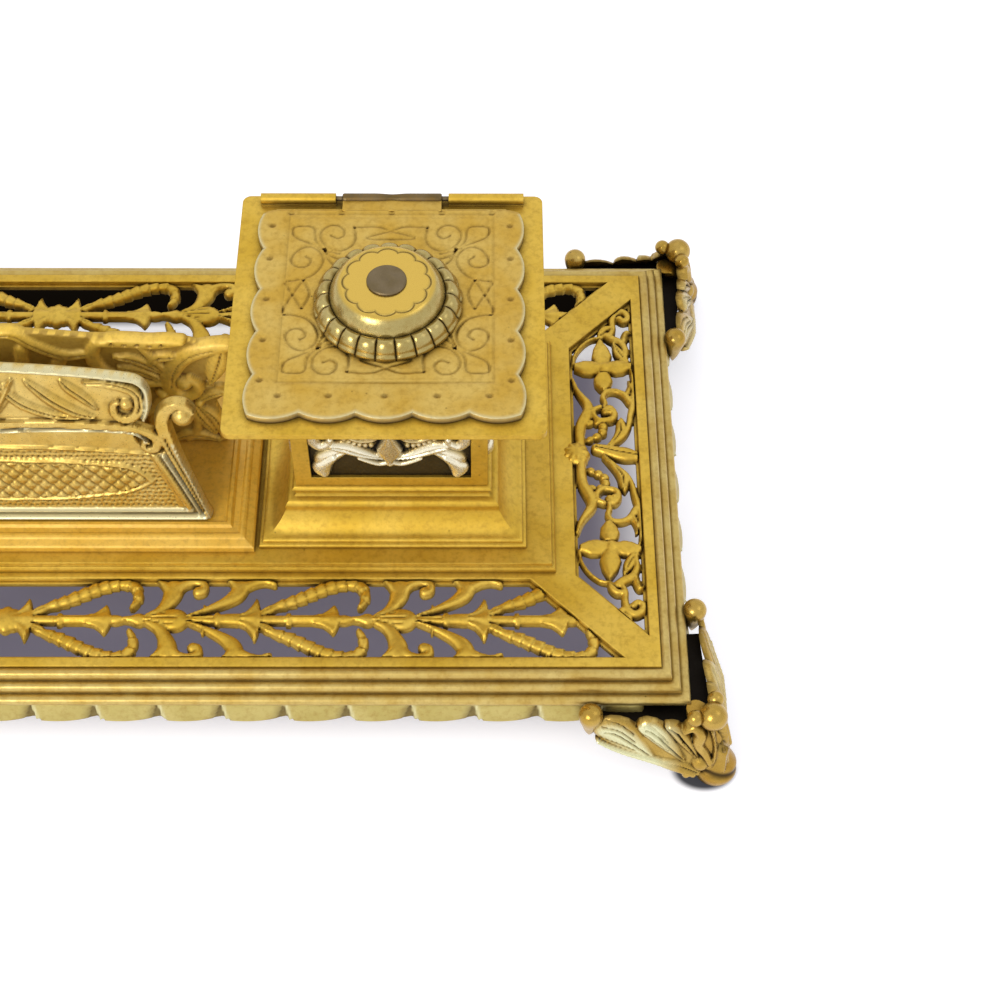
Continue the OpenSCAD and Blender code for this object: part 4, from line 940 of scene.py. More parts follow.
def turned(name, profile, centre, material, body, around=176, change=None, mark=None, sharp=50, cap=True,
           worn=None):
    # a profile of (radius, height) turned about a vertical axis; change(angle, radius, height) reshapes
    # it, mark and worn give the dirt and the rubbed metal with painted highlight from the same three
    profile = np.asarray(profile, float)
    n = len(profile)
    angle, radius = np.meshgrid(np.arange(around) * 2 * math.pi / around, profile[:, 0])
    height = np.repeat(profile[:, 1:2], around, 1)
    if change:
        radius, height = change(angle, radius, height)
    x, y, z = centre
    points = np.stack([x + radius * np.cos(angle), y + radius * np.sin(angle), z + height], -1)
    first = np.arange(around)
    last = (n - 1) * around + first
    faces = [ringQuads(n, around)[:, [0, 3, 2, 1]]]
    if cap:
        faces += [last[None], first[::-1][None]]
    else:
        faces.append(np.stack([last, np.roll(last, -1), np.roll(first, -1), first], -1))
    marks, rub = (give(angle, radius, height) if give else None for give in (mark, worn))
    return makeMesh(name, points, faces, material, body, sharp, marks, rub)


def smoothProfile(points, steps=4):
    return smoothLine([[p[0], p[1], 0] for p in points], steps)[:, :2]


def makeKnuckle(v, side, body, wellX, axisY, axisZ):
    # the middle knuckle of the hinge, with its ends rounded and a dent in the top
    half, radius, around, dent, dentHalf = v["knuckle"]
    end = np.array([half, half - .15, half - .35])
    along = np.concatenate([-end, np.linspace(-half + 1, half - 1, 41), end[::-1]])
    angle = np.arange(around) * 2 * math.pi / around
    swell = np.interp(np.abs(along), [0, half - .35, half - .15, half], [1, 1, .93, .8])
    dented = 1 - dent * np.exp(-(along / dentHalf) ** 2)
    reach = radius * swell[:, None] * np.where(np.sin(angle)[None] > 0.2, dented[:, None], 1)
    points = np.stack([wellX + np.repeat(along[:, None], around, 1), axisY + reach * np.cos(angle),
                       axisZ + reach * np.sin(angle)], -1)
    makeMesh(side + "LidKnuckle", points, tubeFaces(len(along), around), finishes["hinge"], body, 60)


def makeTongue(v, side, body, wellX, axisY, lidZ, lidTop):
    # the tongue that runs on from the plate's back edge to the knuckle, its ends a little smaller
    half = v["knuckle"][0]
    back, level = v["centreY"] + v["wide"] / 2 - 0.5, lidTop - 0.12
    section = np.array([(back + .2, lidZ), (axisY - .6, lidZ), (axisY, lidZ + .2), (axisY - .3, level - .1),
                        (axisY - .9, level), (back + .2, level), (back, level - .15), (back, lidZ + .1)])
    ends = np.array([-half + .05, -half + .15, 0, half - .15, half - .05])
    middle = section.mean(0)
    rings = middle + (section - middle)[None] * np.array([.94, 1, 1, 1, .94])[:, None, None]
    points = np.concatenate([np.repeat((wellX + ends)[:, None, None], len(section), 1), rings], -1)
    tongue = makeMesh(side + "LidTongue", points, tubeFaces(len(ends), len(section)),
                      finishes["pale_brass"], body, 30)
    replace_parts(tongue, "lid_" + side)


def makeBoss(b, side, body, centre):
    # a ring of gadroons and a dome, whose flat crown has an engraved scalloped line
    n = b["gadroons"]
    crownZ, crownSwell, lineZ, yellowTopZ = b["crown"]
    lineRadius, lineReach, lineDeep = b["line"]
    lobe = lambda angle: np.abs(np.sin(n * angle / 2)) ** 0.45

    def pillow(angle, radius, height):
        start, wide, high = b["grooveStart"]
        reach = np.clip((radius - start) / wide, 0, 1) * np.clip(height / high, 0, 1)
        deep = 1 - lobe(angle)
        sunk = height - b["groove"] * deep * reach * np.clip(height / 2, 0, 1)
        return radius - b["groove"] * 0.55 * deep * reach, sunk

    def onLine(angle, radius, wide):
        scallop = lineRadius + lineReach * np.abs(np.cos(b["lobes"] * angle / 2)) ** 0.7
        return np.exp(-((radius - scallop) / wide) ** 2)

    ring = turned(side + "Gadroons", smoothProfile(b["ring"]), centre, finishes["boss"], body,
                  around=16 * n, change=pillow, cap=False,
                  mark=lambda angle, radius, height: 0.9 * np.clip(1.35 - 2.6 * lobe(angle), 0, 1))
    crown = [[r, crownZ + crownSwell * (1 - (r / 10) ** 2)] for r in np.arange(9.8, 0.5, -0.16)]
    dome = turned(side + "Dome", smoothProfile(b["dome"]).tolist() + crown, centre, finishes["boss"], body,
                  around=240,
                  change=lambda angle, radius, height: (
                      radius, height - lineDeep * (onLine(angle, radius, 0.26) * (height > lineZ))),
                  mark=lambda angle, radius, height: 0.85 * onLine(angle, radius, 0.24) * (height > lineZ),
                  worn=lambda angle, radius, height: (
                      np.clip((height - yellowTopZ) / 0.5, 0, 1) * (1 - 0.85 * onLine(angle, radius, 0.24))))
    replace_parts(ring, "boss_" + side)
    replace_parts(dome, "boss_" + side)


def makeLid(v, b, side, field):
    body = side + "_lid"
    wellX = middleOf("lid_" + side)[0]
    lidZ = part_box("lid_" + side)[0].z / mm
    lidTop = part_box("boss_" + side)[0].z / mm
    _, axisY, axisZ = middleOf("hinge_pin_" + side)
    plate = castRelief(side + "LidPlate", field, lambda x, y, h: (wellX + x, y + v["centreY"], lidTop + h),
                       lidTop - lidZ, finishes["pale_brass"], body, dirt=1.4)
    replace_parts(plate, "lid_" + side)
    makeKnuckle(v, side, body, wellX, axisY, axisZ)
    makeTongue(v, side, body, wellX, axisY, lidZ, lidTop)
    makeBoss(b, side, body, (wellX, v["bossY"], lidTop))


sharedLid = lidField(lidValues)
for side in ("right", "left"):
    makeLid(lidValues, bossValues, side, sharedLid)
print("lids and bosses are made")


# Foliate masks in the four panes of each inkwell

maskValues = {
    "step": 0.23, "wide": 36.6, "tall": 25.4, "sunk": 1.2, "ground": 0.4, "bold": 1.3, "pitch": 1.3,
    "forehead": [(0, 7.2, 1.6), (0, 9.4, 2.4), (0, 12.2, .5)], "foreheadHigh": 1.5,
    # strokes of the right half: form, height, points from the middle of the pane
    "strokes": [
        ("round", 1.3, [(1.0, 7.2, .7), (3.0, 8.6, .9), (6, 8.5, .9), (8.4, 6.8, .8), (9.6, 5.2, .5)]),
        ("round", 1.2, [(2.0, 3.6, .4), (3.6, 2.4, .7), (6.2, 2.5, .75), (8.6, 4.2, .7), (10.6, 5.6, .4)]),
        ("round", .9, [(2.6, 2.0, .3), (4.2, .9, .5), (7, .9, .5), (9.6, 2.4, .5), (11.4, 4, .3)]),
        ("bead", 1.1, [(3.4, -.6, .7), (5.6, -.5, .8), (8.2, .2, .8), (10.4, 1.6, .6)]),
        ("vein", 1.7, [(1.6, -4.6, .5), (4.4, -3.9, 1), (7.2, -2.8, 1.5), (10, -1.4, 1.7), (12.6, -.6, 1.2)]),
        ("vein", 1.6, [(9.4, -1.8, .8), (12.2, -3.4, 1.7), (14.6, -5.6, 2), (15.6, -7.6, 1.2)]),
        ("round", 1.5, [(10.6, 4, .6), (13.2, 5.2, 1.1), (16.2, 4.2, 1.3), (17, 1.2, 1.3), (15.6, -.9, 1.2),
            (13.6, .2, 1), (13.2, 1.8, .7)]),
        ("vein", 1.3, [(2.4, 9.6, .5), (5.6, 11, 1.2), (9, 11.2, 1.3), (11.4, 9.6, .8)]),
        ("vein", 1.2, [(10.8, 7.4, .6), (13.4, 8.6, 1.2), (16, 10.8, 1.1), (17, 11.8, .6)]),
        ("round", 1.4, [(.2, -6.6, .7), (2.4, -7.2, .6), (4.6, -6.4, .6), (7, -5, .5)]),
        ("round", 2.2, [(12.6, -4.2, .9), (14.4, -6.4, 1.4), (15.6, -8.6, 1.8), (15.2, -10.2, 1.2)]),
    ],
    "balls": [(4.7, 4.9, 1.9, 1.9), (1.9, -3.4, 1.2, 1.6)], "grooves": [],
    "nose": [(0, .8), (3, 1.1), (6, 1.9), (8.8, 3), (10.4, 2.6), (11.4, 1.4)], "noseTop": (0, 7.0), "noseHigh": 2.7,
    "chin": (0, -6.7, 1.2, 1.8),  # x, y, radius, height
    "eye": (4.4, 4.5, .75, 1.1),  # x, y, radius, depth of the hole in each eye
    "grain": (0.05, (9.1, 5.3), (8.3, 4.7)),  # of the ground: depth, and how fast it waves along x and y
    "worn": (0.7, 0.7), "noseDull": (2.2, 1, 5, 0.8),  # rubbed metal and painted highlight above this height; the nose less than the rest
}


def maskField(v):
    w, h = v["wide"] / 2, v["tall"] / 2
    field = newField(-w, w, -h, h, v["step"])
    addStroke(field, v["forehead"], v["foreheadHigh"], "vein")
    drawBothSides(field, v, v["bold"], v["pitch"])
    addPetal(field, *v["noseTop"], -90, v["nose"], v["noseHigh"], cup=.8)
    addBall(field, *v["chin"])
    gx, gy = np.meshgrid(field["x"], field["y"])
    x, y, radius, deep = v["eye"]
    for sx in (1, -1):
        field["rise"] -= deep * np.clip(1 - (np.hypot(gx - sx * x, gy - y) / radius) ** 2, 0, 1)
    # the whole pane is kept, with a grained dark ground between the strokes that is partly painted shade
    bare = np.clip(field["gap"] / 0.4 + 0.5, 0, 1)
    wave = lambda a, b, fast, slow: np.sin(a * fast + 2 * np.sin(b * slow))
    deep, alongX, alongY = v["grain"]
    grain = deep * wave(gx, gy, *alongX) * wave(gy, gx, *alongY)
    field["rise"] = np.maximum(field["rise"], -0.4) + bare * grain
    field["gap"] = np.maximum(np.abs(gx) - w, np.abs(gy) - h) - 0.05
    field["bare"] = bare
    wide, below, tall, dull = v["noseDull"]
    onNose = np.exp(-(gx / wide) ** 2 - ((gy + below) / tall) ** 2)
    start, fade = v["worn"]
    field["rub"] = np.clip((field["rise"] - start) / fade, 0, 1) * (1 - dull * onNose)
    return field


def masks(v):
    field = maskField(v)
    for side, sx in (("right", 1), ("left", -1)):
        cx, cy, cz = middleOf("body_" + side)
        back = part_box("body_" + side)[1].x / mm - cx - v["sunk"]
        for name, turn in (("front", 0), ("back", 180), ("outer", 90 * sx), ("inner", -90 * sx)):
            c, s = heading(turn)

            def place(x, y, h):
                out = back + v["ground"] + h
                return cx + x * c + out * s, cy + x * s - out * c, cz + y

            piece = castRelief(side + name.capitalize() + "Mask", field, place, v["ground"],
                               finishes["silvered_brass"], "stand", dirt=1.1, sharp=60)
            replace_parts(piece, f"mask_{side}_{name}")


masks(maskValues)
print("masks are cast")


# Plaque and scroll panel of the letter rack. x runs along the stand, y is the way up the piece.

def addSheet(field, corners, high):
    # a level sheet inside a closed outline; the sign of the distance comes from the crossings of a ray
    gx, gy = np.meshgrid(field["x"], field["y"])
    corners = np.array(corners, float)
    away = np.full(gx.shape, 99.0)
    inside = np.zeros(gx.shape, bool)
    for p, q in zip(corners, np.roll(corners, -1, 0)):
        d = q - p
        t = np.clip(((gx - p[0]) * d[0] + (gy - p[1]) * d[1]) / (d @ d), 0, 1)
        away = np.minimum(away, np.hypot(gx - p[0] - t * d[0], gy - p[1] - t * d[1]))
        if d[1]:
            inside ^= ((p[1] > gy) != (q[1] > gy)) & (gx < (gy - p[1]) / d[1] * d[0] + p[0])
    gap = np.where(inside, -away, away)
    press(field, np.s_[:, :], gap, np.full(gx.shape, high))
    return gap


plaqueValues = {
    "step": 0.33, "edges": (-47, 47, -0.2, 46.6), "lean": 12, "thick": 1.7, "sink": 1.3, "frontY": -21.6,
    "footZ": 29.9,
    "sheet": [
        (0, 0), (46, .2), (46.3, 1.4), (38.8, 21.6), (36.6, 20.4), (34.4, 20), (32.6, 21), (31, 24), (30.4, 27),
        (31.6, 30.4), (33, 33.6), (33.4, 37), (32.4, 40), (30, 41.8), (24, 42.8), (12, 43.8), (0, 44.4),
    ],
    "field": [(0, 3), (39.2, 3), (33, 19.6), (22, 20.6), (0, 21.4)],
    "cartouche": [
        (0, 18), (14, 17.6), (24, 16.7), (28.1, 16), (30.2, 15), (31.9, 13.4), (33.4, 11.2), (30.7, 9.4), (27, 7.8),
        (14, 6), (0, 5.6),
    ],
    # stippled ground: way between two pits, their depth and radius, and how their rows wave
    "pit": (1.25, 0.5, 0.42), "wavyX": (0.16, 1.9, 1.3, 0.7), "wavyY": (0.14, 1.7, 1.1, 0.9),
    # cartouche: the size of its lattice, the height and vein of its leaves; the height, way in and half
    # width of its rim
    "lattice": (3.4, 0.75, 0.1), "rim": (0.7, 0.2, 0.5),
    # form, height, points with half widths
    "strokes": [
        ("flat", 2.1, [(45.3, 1, .8), (43.9, 5.2, 1), (42.2, 10.6, 1.25), (40, 17.4, 1.6), (38.3, 23.6, 1.95),
            (37.5, 28.6, 2), (38.3, 32.2, 1.9), (40.4, 34.3, 1.5), (43, 34.3, 1.2), (44.6, 32.6, .8)]),
        ("rim", 2.5, [(45.8, .9, .45), (44.5, 5.2, .45), (43, 10.6, .45), (41.2, 16.4, .45), (39.9, 20.6, .4),
            (39.2, 23.4, .3)]),
        ("rim", 1.9, [(43.4, 1.6, .5), (40.1, 10.5, .55), (36.6, 19.4, .5)]),
        ("flat", 1.6, [(41.3, 2.6, .8), (37.8, 11.5, 1), (34.6, 19.4, .9)]),
        ("rim", 2.4, [(0, .6, .7), (44.8, .6, .7)]),
        ("rim", 1.7, [(0, 2.3, .55), (41.6, 2.3, .5)]),
        ("round", 1.6, [(33.6, 20, .6), (24, 20.9, .6), (12, 21.7, .6), (0, 22, .6)]),
        ("flat", 2, [(0, 29, 1.3), (12, 29.2, 1.3), (22, 28.7, 1.3), (29.5, 28, 1.3), (31.7, 27.5, 1.2),
            (33.4, 26.7, 1.2), (35.1, 25.6, 1.4), (35.9, 23.9, 1.5), (35.3, 22, 1.4), (33.7, 21.4, 1.1),
            (32.7, 22.5, .9), (33.2, 23.9, .8), (34.1, 23.7, .5)]),
        ("rim", 2, [(0, 26.8, .5), (14, 27.3, .5), (26, 27, .5), (30.6, 26.4, .5), (32.8, 25, .4),
            (33.4, 23.8, .2)]),
        ("rim", 2.2, [(0, 45, .8), (14, 44, .8), (24, 43, .8), (31.3, 41.9, .8), (33.4, 41, .8), (34.6, 39.4, .8),
            (35, 37, .8), (34.7, 33.6, .8), (33.6, 30.5, .7)]),
        ("flat", 2, [(22, 41, .9), (27, 40.6, 1.4), (30.9, 39.3, 1.5), (32.6, 37.8, 1.5), (33.1, 35.6, 1.5),
            (32.7, 33, 1.5), (31.3, 31.1, 1.4), (29, 30.6, 1.3), (27.3, 32, 1.2), (27.3, 34.4, 1),
            (28.4, 35.4, .7)]),
        ("vein", 1.9, [(22.4, 31, .7), (18.4, 32.4, 1.8), (14, 35.6, 2), (10.4, 39.4, 1.4), (8.6, 41.6, .5)]),
        ("vein", 1.9, [(23.4, 33.4, .6), (21, 36.4, 1.6), (18, 39.4, 1.6), (16.4, 41.6, .5)]),
        ("vein", 1.9, [(19.4, 30.8, .5), (13.4, 31.6, 1.4), (7.4, 34.4, 1.7), (3.6, 38.4, 1.2), (2.4, 41.4, .4)]),
    ],
    "balls": [(42.3, 31.3, 2.8, 3.4), (30.2, 34.6, 1.9, 2.4)],
    "grooves": [
        [(44.6, 2.4, .22), (41.2, 13.4, .22), (38.9, 20.4, .22), (37.6, 25.4, .16)],
        [(22, 41, .2), (27, 40.8, .2), (31.2, 39.4, .2), (33, 37.4, .2), (33.3, 35, .2), (32.6, 32.6, .2)],
    ],
    "middle": [(0, 31, 90, 1.8), (0, 31, 62, 1.5), (0, 31, 118, 1.5)],  # leaves: foot, direction, half width
}


def plaqueField(v):
    field = newField(*v["edges"], v["step"])
    field["rub"] = np.zeros(field["gap"].shape)
    both = lambda points: [[-p[0], *p[1:]] for p in points[::-1] if p[0] > 0] + [[*p] for p in points]
    addSheet(field, both(v["sheet"])[:-1], 0.9)
    gx, gy = np.meshgrid(field["x"], field["y"])
    spare = newField(*v["edges"], v["step"])
    panel = addSheet(spare, both(v["field"]), 0)
    almond = addSheet(spare, both(v["cartouche"]), 0)
    # stippled ground: pits in rows, every other row half a pitch on
    wavy = lambda a, b, far, fast, bend, slow: a + far * np.sin(fast * b + bend * np.sin(slow * a))
    wavyX, wavyY = wavy(gx, gy, *v["wavyX"]), wavy(gy, gx, *v["wavyY"])
    pitch, deep, radius = v["pit"]
    row = np.round(wavyY / pitch)
    along = (wavyX / pitch + 0.5 * (row % 2) + 0.5) % 1 - 0.5
    r = np.hypot(along, wavyY / pitch - row) * pitch
    pits = deep * np.clip(1 - (r / radius) ** 2, 0, 1) * (almond > 0.4)
    field["rise"] -= np.where(panel < 0, 0.1 + pits, 0)
    # cartouche: a rounded rim, and a lattice of leaves that cross inside it
    rimHigh, way, half = v["rim"]
    rim = np.exp(-((almond + way) / half) ** 2)
    size, leafHigh, veinHigh = v["lattice"]
    a, b = (gx + gy) / size, (gx - gy) / size
    leaf = np.abs(np.sin(math.pi * a)) * np.abs(np.sin(math.pi * b))
    leaves = leafHigh * np.sqrt(leaf) - veinHigh * np.cos(4 * math.pi * a)
    field["rise"] += leaves * (almond < -0.9) + rimHigh * rim
    drawBothSides(field, v)
    for x, y, angle, wide in v["middle"]:
        addPetal(field, x, y, angle, [(0, .6), (4, wide), (9, wide * 1.3), (12.4, .4)], 2.3, flutes=2)
    field["rub"] = blur(field["rub"], 1) * 0.75
    return field


backValues = {
    "step": 0.4, "edges": (-54, 54, -0.2, 41.4), "faceY": 2.0, "thick": 1.3, "footZ": 29.9,
    "ground": [
        (0, 40.2), (8, 39.4), (20, 38), (30, 37.6), (41, 37.2), (45.6, 35.6), (50.6, 35.4), (49.6, 31), (47.4, 24),
        (44.8, 22), (45, 20.2), (50, 19.6), (50, 18), (46.4, 14.4), (47.6, 8), (47.6, 2), (46.4, 0), (0, 0),
    ],
    "strokes": [
        ("round", 1.9, [(53, 35.6, 1.2), (50.7, 35.2, 1.8), (46.9, 34.1, 2.3), (42.9, 32.3, 2.5), (39.5, 29.3, 2.5),
            (37.2, 25, 2.5), (36.7, 21.3, 2.4), (38, 18.2, 2.2), (40.4, 17.3, 2), (42.6, 19, 1.8), (43, 21.8, 1.5),
            (41.6, 24, 1.3)]),
        ("vein", 1.9, [(50.2, 34.6, 1.4), (49.2, 30.6, 2.6), (47.8, 26.4, 2.3), (46.3, 22.2, .6)]),
        ("vein", 1.7, [(42, 14.6, .5), (44.4, 16.8, 1.3), (47.6, 18.6, 1.4), (50.4, 18.8, .5)]),
        ("vein", 1.7, [(41, 14.6, .7), (42.2, 10, 1.8), (44, 6, 1.5), (45.4, 3, .5)]),
        ("vein", 1.7, [(43, 13.4, .7), (45.8, 9, 1.8), (47, 4.4, 1.5), (47.2, 1, .6)]),
        ("vein", 1.6, [(35, .4, .9), (38.6, 2.4, 1.7), (42.6, 2, 1.6), (46, .5, .9)]),
        ("round", 1.4, [(38, 17, 1.2), (40, 13.4, 1.3), (41.6, 9, 1.2), (41, 4, 1.2), (38.6, .6, 1.4)]),
        ("round", 1.7, [(22, 36.2, 1), (26, 36.6, 1.7), (30.2, 36.4, 1.8), (34, 36, 1.8), (38, 36.4, 1.6),
            (41.4, 36.7, .9)]),
        ("vein", 1.8, [(32.6, 29, .7), (35, 31.2, 1.7), (37.6, 31.8, 1.6), (39.6, 31.6, .6)]),
        ("vein", 1.6, [(25.6, 31.6, .8), (29.5, 30.8, 1.8), (33, 28.4, 1.6), (35, 26.2, .6)]),
        ("vein", 1.6, [(26, 27.8, .7), (29.4, 27, 1.8), (32.6, 25.2, 1.5), (35.6, 22.6, .6)]),
        ("round", 1.5, [(36.4, 27, 1.2), (33.6, 31.6, 1.2), (31.6, 35.8, 1.2)]),
        ("round", 1.7, [(35, 22, 1.2), (28, 22.6, 2), (22, 26.4, 2.2), (20.4, 32, 2), (22, 36.4, 1.6)]),
        ("round", 1.7, [(33, 1, 1.9), (31.6, 8, 2), (33.6, 14, 1.9), (36.6, 18, 1.5)]),
        ("round", 1.7, [(32, 12, 1.4), (25.6, 10.4, 2), (20.4, 14.4, 2), (20.8, 20.6, 1.8), (25.6, 21.6, 1.6),
            (27, 18.2, 1.4)]),
        ("vein", 1.6, [(20.6, 33, 1.3), (14, 32, 2), (8, 35.4, 2), (4, 39, 1.8), (0, 39.4, 1.4)]),
        ("round", 1.5, [(20.6, 18, 1.4), (14.4, 22, 1.9), (12, 28, 1.9), (14.6, 32.6, 1.4)]),
        ("round", 1.5, [(24, 1, 1.8), (15, 3.6, 1.9), (8, 9, 1.9), (5, 17, 1.9), (0, 22, 1.5)]),
        ("round", 1.3, [(0, 6, 1.7), (6.4, 12, 1.6), (13, 12, 1.6), (20.6, 15, 1.4)]),
        ("round", 1.5, [(0, 20, 1.9), (3.4, 27, 1.9), (4.6, 34, 1.7)]),
        ("flat", 1.0, [(0, .9, 1.1), (47, .9, 1.1)]),
    ],
    "balls": [(40.3, 22.6, 2.2, 2.9), (34.8, 18.5, 1.8, 2.4), (42.9, 15, 1.3, 2.2), (26.4, 18.6, 1.9, 2.4)],
    "dots": [(25.6, 36.6), (28.4, 36.5), (31.2, 36.3), (34, 36), (36.8, 36.2)],
    "grooves": [
        [(35, 30.6, .25), (36, 31.9, .25), (37, 31.4, .25), (38, 32, .25)],
        [(28, 31, .2), (31, 29.9, .2), (33.6, 27.8, .2)],
        [(48, 34.6, .2), (43.6, 32.9, .22), (40.2, 30, .22), (37.9, 25.4, .2), (37.3, 21.4, .2)],
    ],
}


def backField(v):
    field = newField(*v["edges"], v["step"])
    ground = [(-x, y) for x, y in v["ground"][::-1] if x > 0] + v["ground"]
    addSheet(field, ground, 0.35)
    bare = field["gap"] < 0
    drawBothSides(field, v)
    for sx in (1, -1):
        for x, y in v["dots"]:
            addStroke(field, [[sx * x, y, .5], [sx * (x + .1), y, .5]], cut=True)
    field["bare"] = 0.6 * np.clip(1 - (field["rise"] - 0.35) / 0.5, 0, 1) * bare
    return field


def letterRack(p, b):
    c, s = heading(p["lean"])

    def leaning(x, y, h):
        out = h - p["sink"]
        return x, p["frontY"] + y * s - out * c, p["footZ"] + y * c + out * s

    plaque = castRelief("rackPlaque", plaqueField(p), leaning, p["thick"] - p["sink"], finishes["plaque"],
                        "stand", dirt=0.8, sharp=60)
    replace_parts(plaque, "rack_front")
    panel = castRelief("rackScrollPanel", backField(b), lambda x, y, h: (x, b["faceY"] - h, b["footZ"] + y),
                       b["thick"], finishes["panel"], "stand", dirt=0.8, sharp=60)
    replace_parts(panel, "rack_back")


letterRack(plaqueValues, backValues)
print("letter rack is cast")


# Apron: a row of skewed shells under the lowest reed. Each swells out to the right of a sharp ridge
# that leaves its cusp, and turns back in before the next one.

apronValues = {
    "step": 0.5, "drop": 5.3, "tilt": 11, "inset": 1.1, "swell": 1.6, "thick": 0.9, "notch": 0.7, "lobe": 14.33,
    "lowZ": 18.4, "front": (146, 65.4), "side": (54.9, 156.5),  # half length, and way out to the lowest reed
    # in parts of a lobe: where its ridge and its back edge start at the reed, and how far they slant below it
    "ridge": (0.012, 0.07), "back": (0.988, -0.12),
    "arch": (0.22, 0.74, 0.6),  # its swell: the part of a sine wave that it starts at and covers, its power
    # of the ridge: height and half width; and how much rubbed metal and painted highlight lies beside it, how far
    # beside it, and half width
    "crest": (1.05, 0.022), "worn": (0.9, 0.015, 0.028),
}


def apronField(v, half):
    field = newField(-half, half, -v["drop"], 0.3, v["step"])
    gx, gy = np.meshgrid(field["x"], field["y"])
    down = np.clip(-gy / v["drop"], 0, 1)
    u = (gx / v["lobe"] + 0.5) % 1  # 0 and 1 at the cusps
    ridge, back = (start + slant * down for start, slant in (v["ridge"], v["back"]))
    q = np.clip((u - ridge) / (back - ridge), 0, 1)
    start, cover, power = v["arch"]
    swell = np.where((u > ridge) & (u < back), np.sin(math.pi * np.clip(start + cover * q, 0, 1)) ** power, 0.0)
    high, wide = v["crest"]
    swell = np.maximum(swell, high * np.exp(-((u - ridge) / wide) ** 2))
    field["rise"] = v["swell"] * swell * (0.2 + 0.8 * np.sqrt(down))
    hem = -v["drop"] + v["notch"] * np.abs(2 * u - 1) ** 4
    field["gap"] = np.maximum(hem - gy, np.maximum(np.abs(gx) - half, gy - 0.25)) - 0.05
    # painted shade: the apron darkened where its shells turn back in, fading out towards the reed
    field["bare"] = 0.75 * np.clip(1.3 - swell / 0.5, 0, 1) * np.clip(4 * down, 0, 1)
    # a pale line beside each ridge: rubbed metal and painted highlight
    worn, beside, wide = v["worn"]
    field["rub"] = worn * np.exp(-((u - ridge - beside) / wide) ** 2)
    return field


def aprons(v):
    c, s = heading(v["tilt"])
    for (half, reach), sides in ((v["front"], (("front", 0), ("back", 180))),
                                 (v["side"], (("right", 90), ("left", -90)))):
        field = apronField(v, half)
        for name, turn in sides:
            ct, st = (round(part) for part in heading(turn))

            def place(x, y, h):
                out = reach - v["inset"] - y * s + h * c
                return x * ct + out * st, x * st - out * ct, v["lowZ"] + y * c + h * s

            piece = castRelief(name + "Apron", field, place, v["thick"], finishes["apron"], "stand",
                               dirt=0.8, sharp=60)
            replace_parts(piece, "apron_" + name)


aprons(apronValues)
print("aprons are stamped")


# Base frame: a ring of three rounded reeds, mitred at the corners, and the pierced plate inside it

baseValues = {
    "half": (156.5, 65.4), "topZ": 25.0, "plateLow": 22.0, "rim": 6.7, "chamfer": 0.35,
    # across the reeds: way in from the lowest one, height
    "reeds": [
        (0.55, 18.4), (0.1, 18.9), (0, 19.5), (0.15, 20.1), (0.6, 20.5), (1.2, 20.6), (1.75, 20.5), (2.1, 20.35),
        (2.25, 20.25), (2.3, 20.6), (2.2, 21.2), (2.3, 21.9), (2.7, 22.45), (3.3, 22.65), (3.9, 22.5), (4.3, 22.35),
        (4.42, 22.25), (4.45, 22.7), (4.36, 23.3), (4.45, 24), (4.8, 24.55), (5.4, 24.8), (6.0, 24.7), (6.4, 24.5),
        (6.6, 24.35), (6.9, 24.2), (8.8, 23.4), (8.8, 22.2), (3.6, 19.2), (3.0, 18.4),
    ],
    "span": 2.0, "valleys": (8, 16, 24),  # the points of the reeds' profile that gather dirt
    # screw boss under each corner: radius, height
    "boss": [(2.2, 18.42), (4, 18.42), (4.5, 18.9), (4.5, 21.6), (4.1, 22.05), (0.3, 22.1)],
}


def mitredRing(name, half, profile, span, node, material, marks=None, centre=(0, 0, 0)):
    # a closed profile of (way in, height) swept round a rectangle in steps of about span
    profile = np.asarray(profile, float)
    corners = ((-1, -1), (1, -1), (1, 1), (-1, 1))
    way = []
    for (ax, ay), (bx, by) in zip(corners, corners[1:] + corners[:1]):
        count = max(2, int(round((half[0] if ay == by else half[1]) * 2 / span)))
        way += [(ax + (bx - ax) * k / count, ay + (by - ay) * k / count) for k in range(count)]
    way = np.array(way)
    x = way[:, :1] * (half[0] - profile[None, :, 0])
    y = way[:, 1:] * (half[1] - profile[None, :, 0])
    z = np.repeat(profile[None, :, 1], len(way), 0)
    ring = makeMesh(name, np.stack([x, y, z], -1) + centre, [ringQuads(len(way), len(profile), closed=True)],
                    material, "stand", 40, None if marks is None else np.tile(marks, len(way)))
    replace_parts(ring, node)


plinthValues = {
    "span": 4,
    # two fillets, a wide cove, a rounded ledge, a hollow and a bead under the body: way in, height
    "edge": [
        (0, 0), (0, .8), (.25, 1.05), (.8, 1.1), (.85, 1.7), (1.15, 2), (1.7, 2.1), (2.3, 2.2), (2.9, 2.5),
        (3.8, 3.15), (4.7, 4.05), (5.5, 5.1), (6.1, 6.2), (6.4, 6.9), (6.3, 7.5), (6.4, 8.2), (6.8, 8.8),
        (7.4, 9.15), (8, 9.2), (8.4, 9.3), (8.7, 9.8), (8.8, 10.6), (8.65, 11.2), (8.25, 11.45), (8.05, 11.9),
        (8.25, 12.4), (8.7, 12.7), (9.4, 12.8), (12, 12.8), (12, 0),
    ],
}


def insetLoop(loop, by):
    # moves each side of a loop into the metal and finds the new corners
    p = np.array(loop, float)
    d = np.roll(p, -1, 0) - p
    d /= np.hypot(*d.T)[:, None]
    side = np.stack([-d[:, 1], d[:, 0]], 1)
    before = np.roll(side, 1, 0)
    return p + by * (before + side) / (1 + (before * side).sum(1))[:, None]


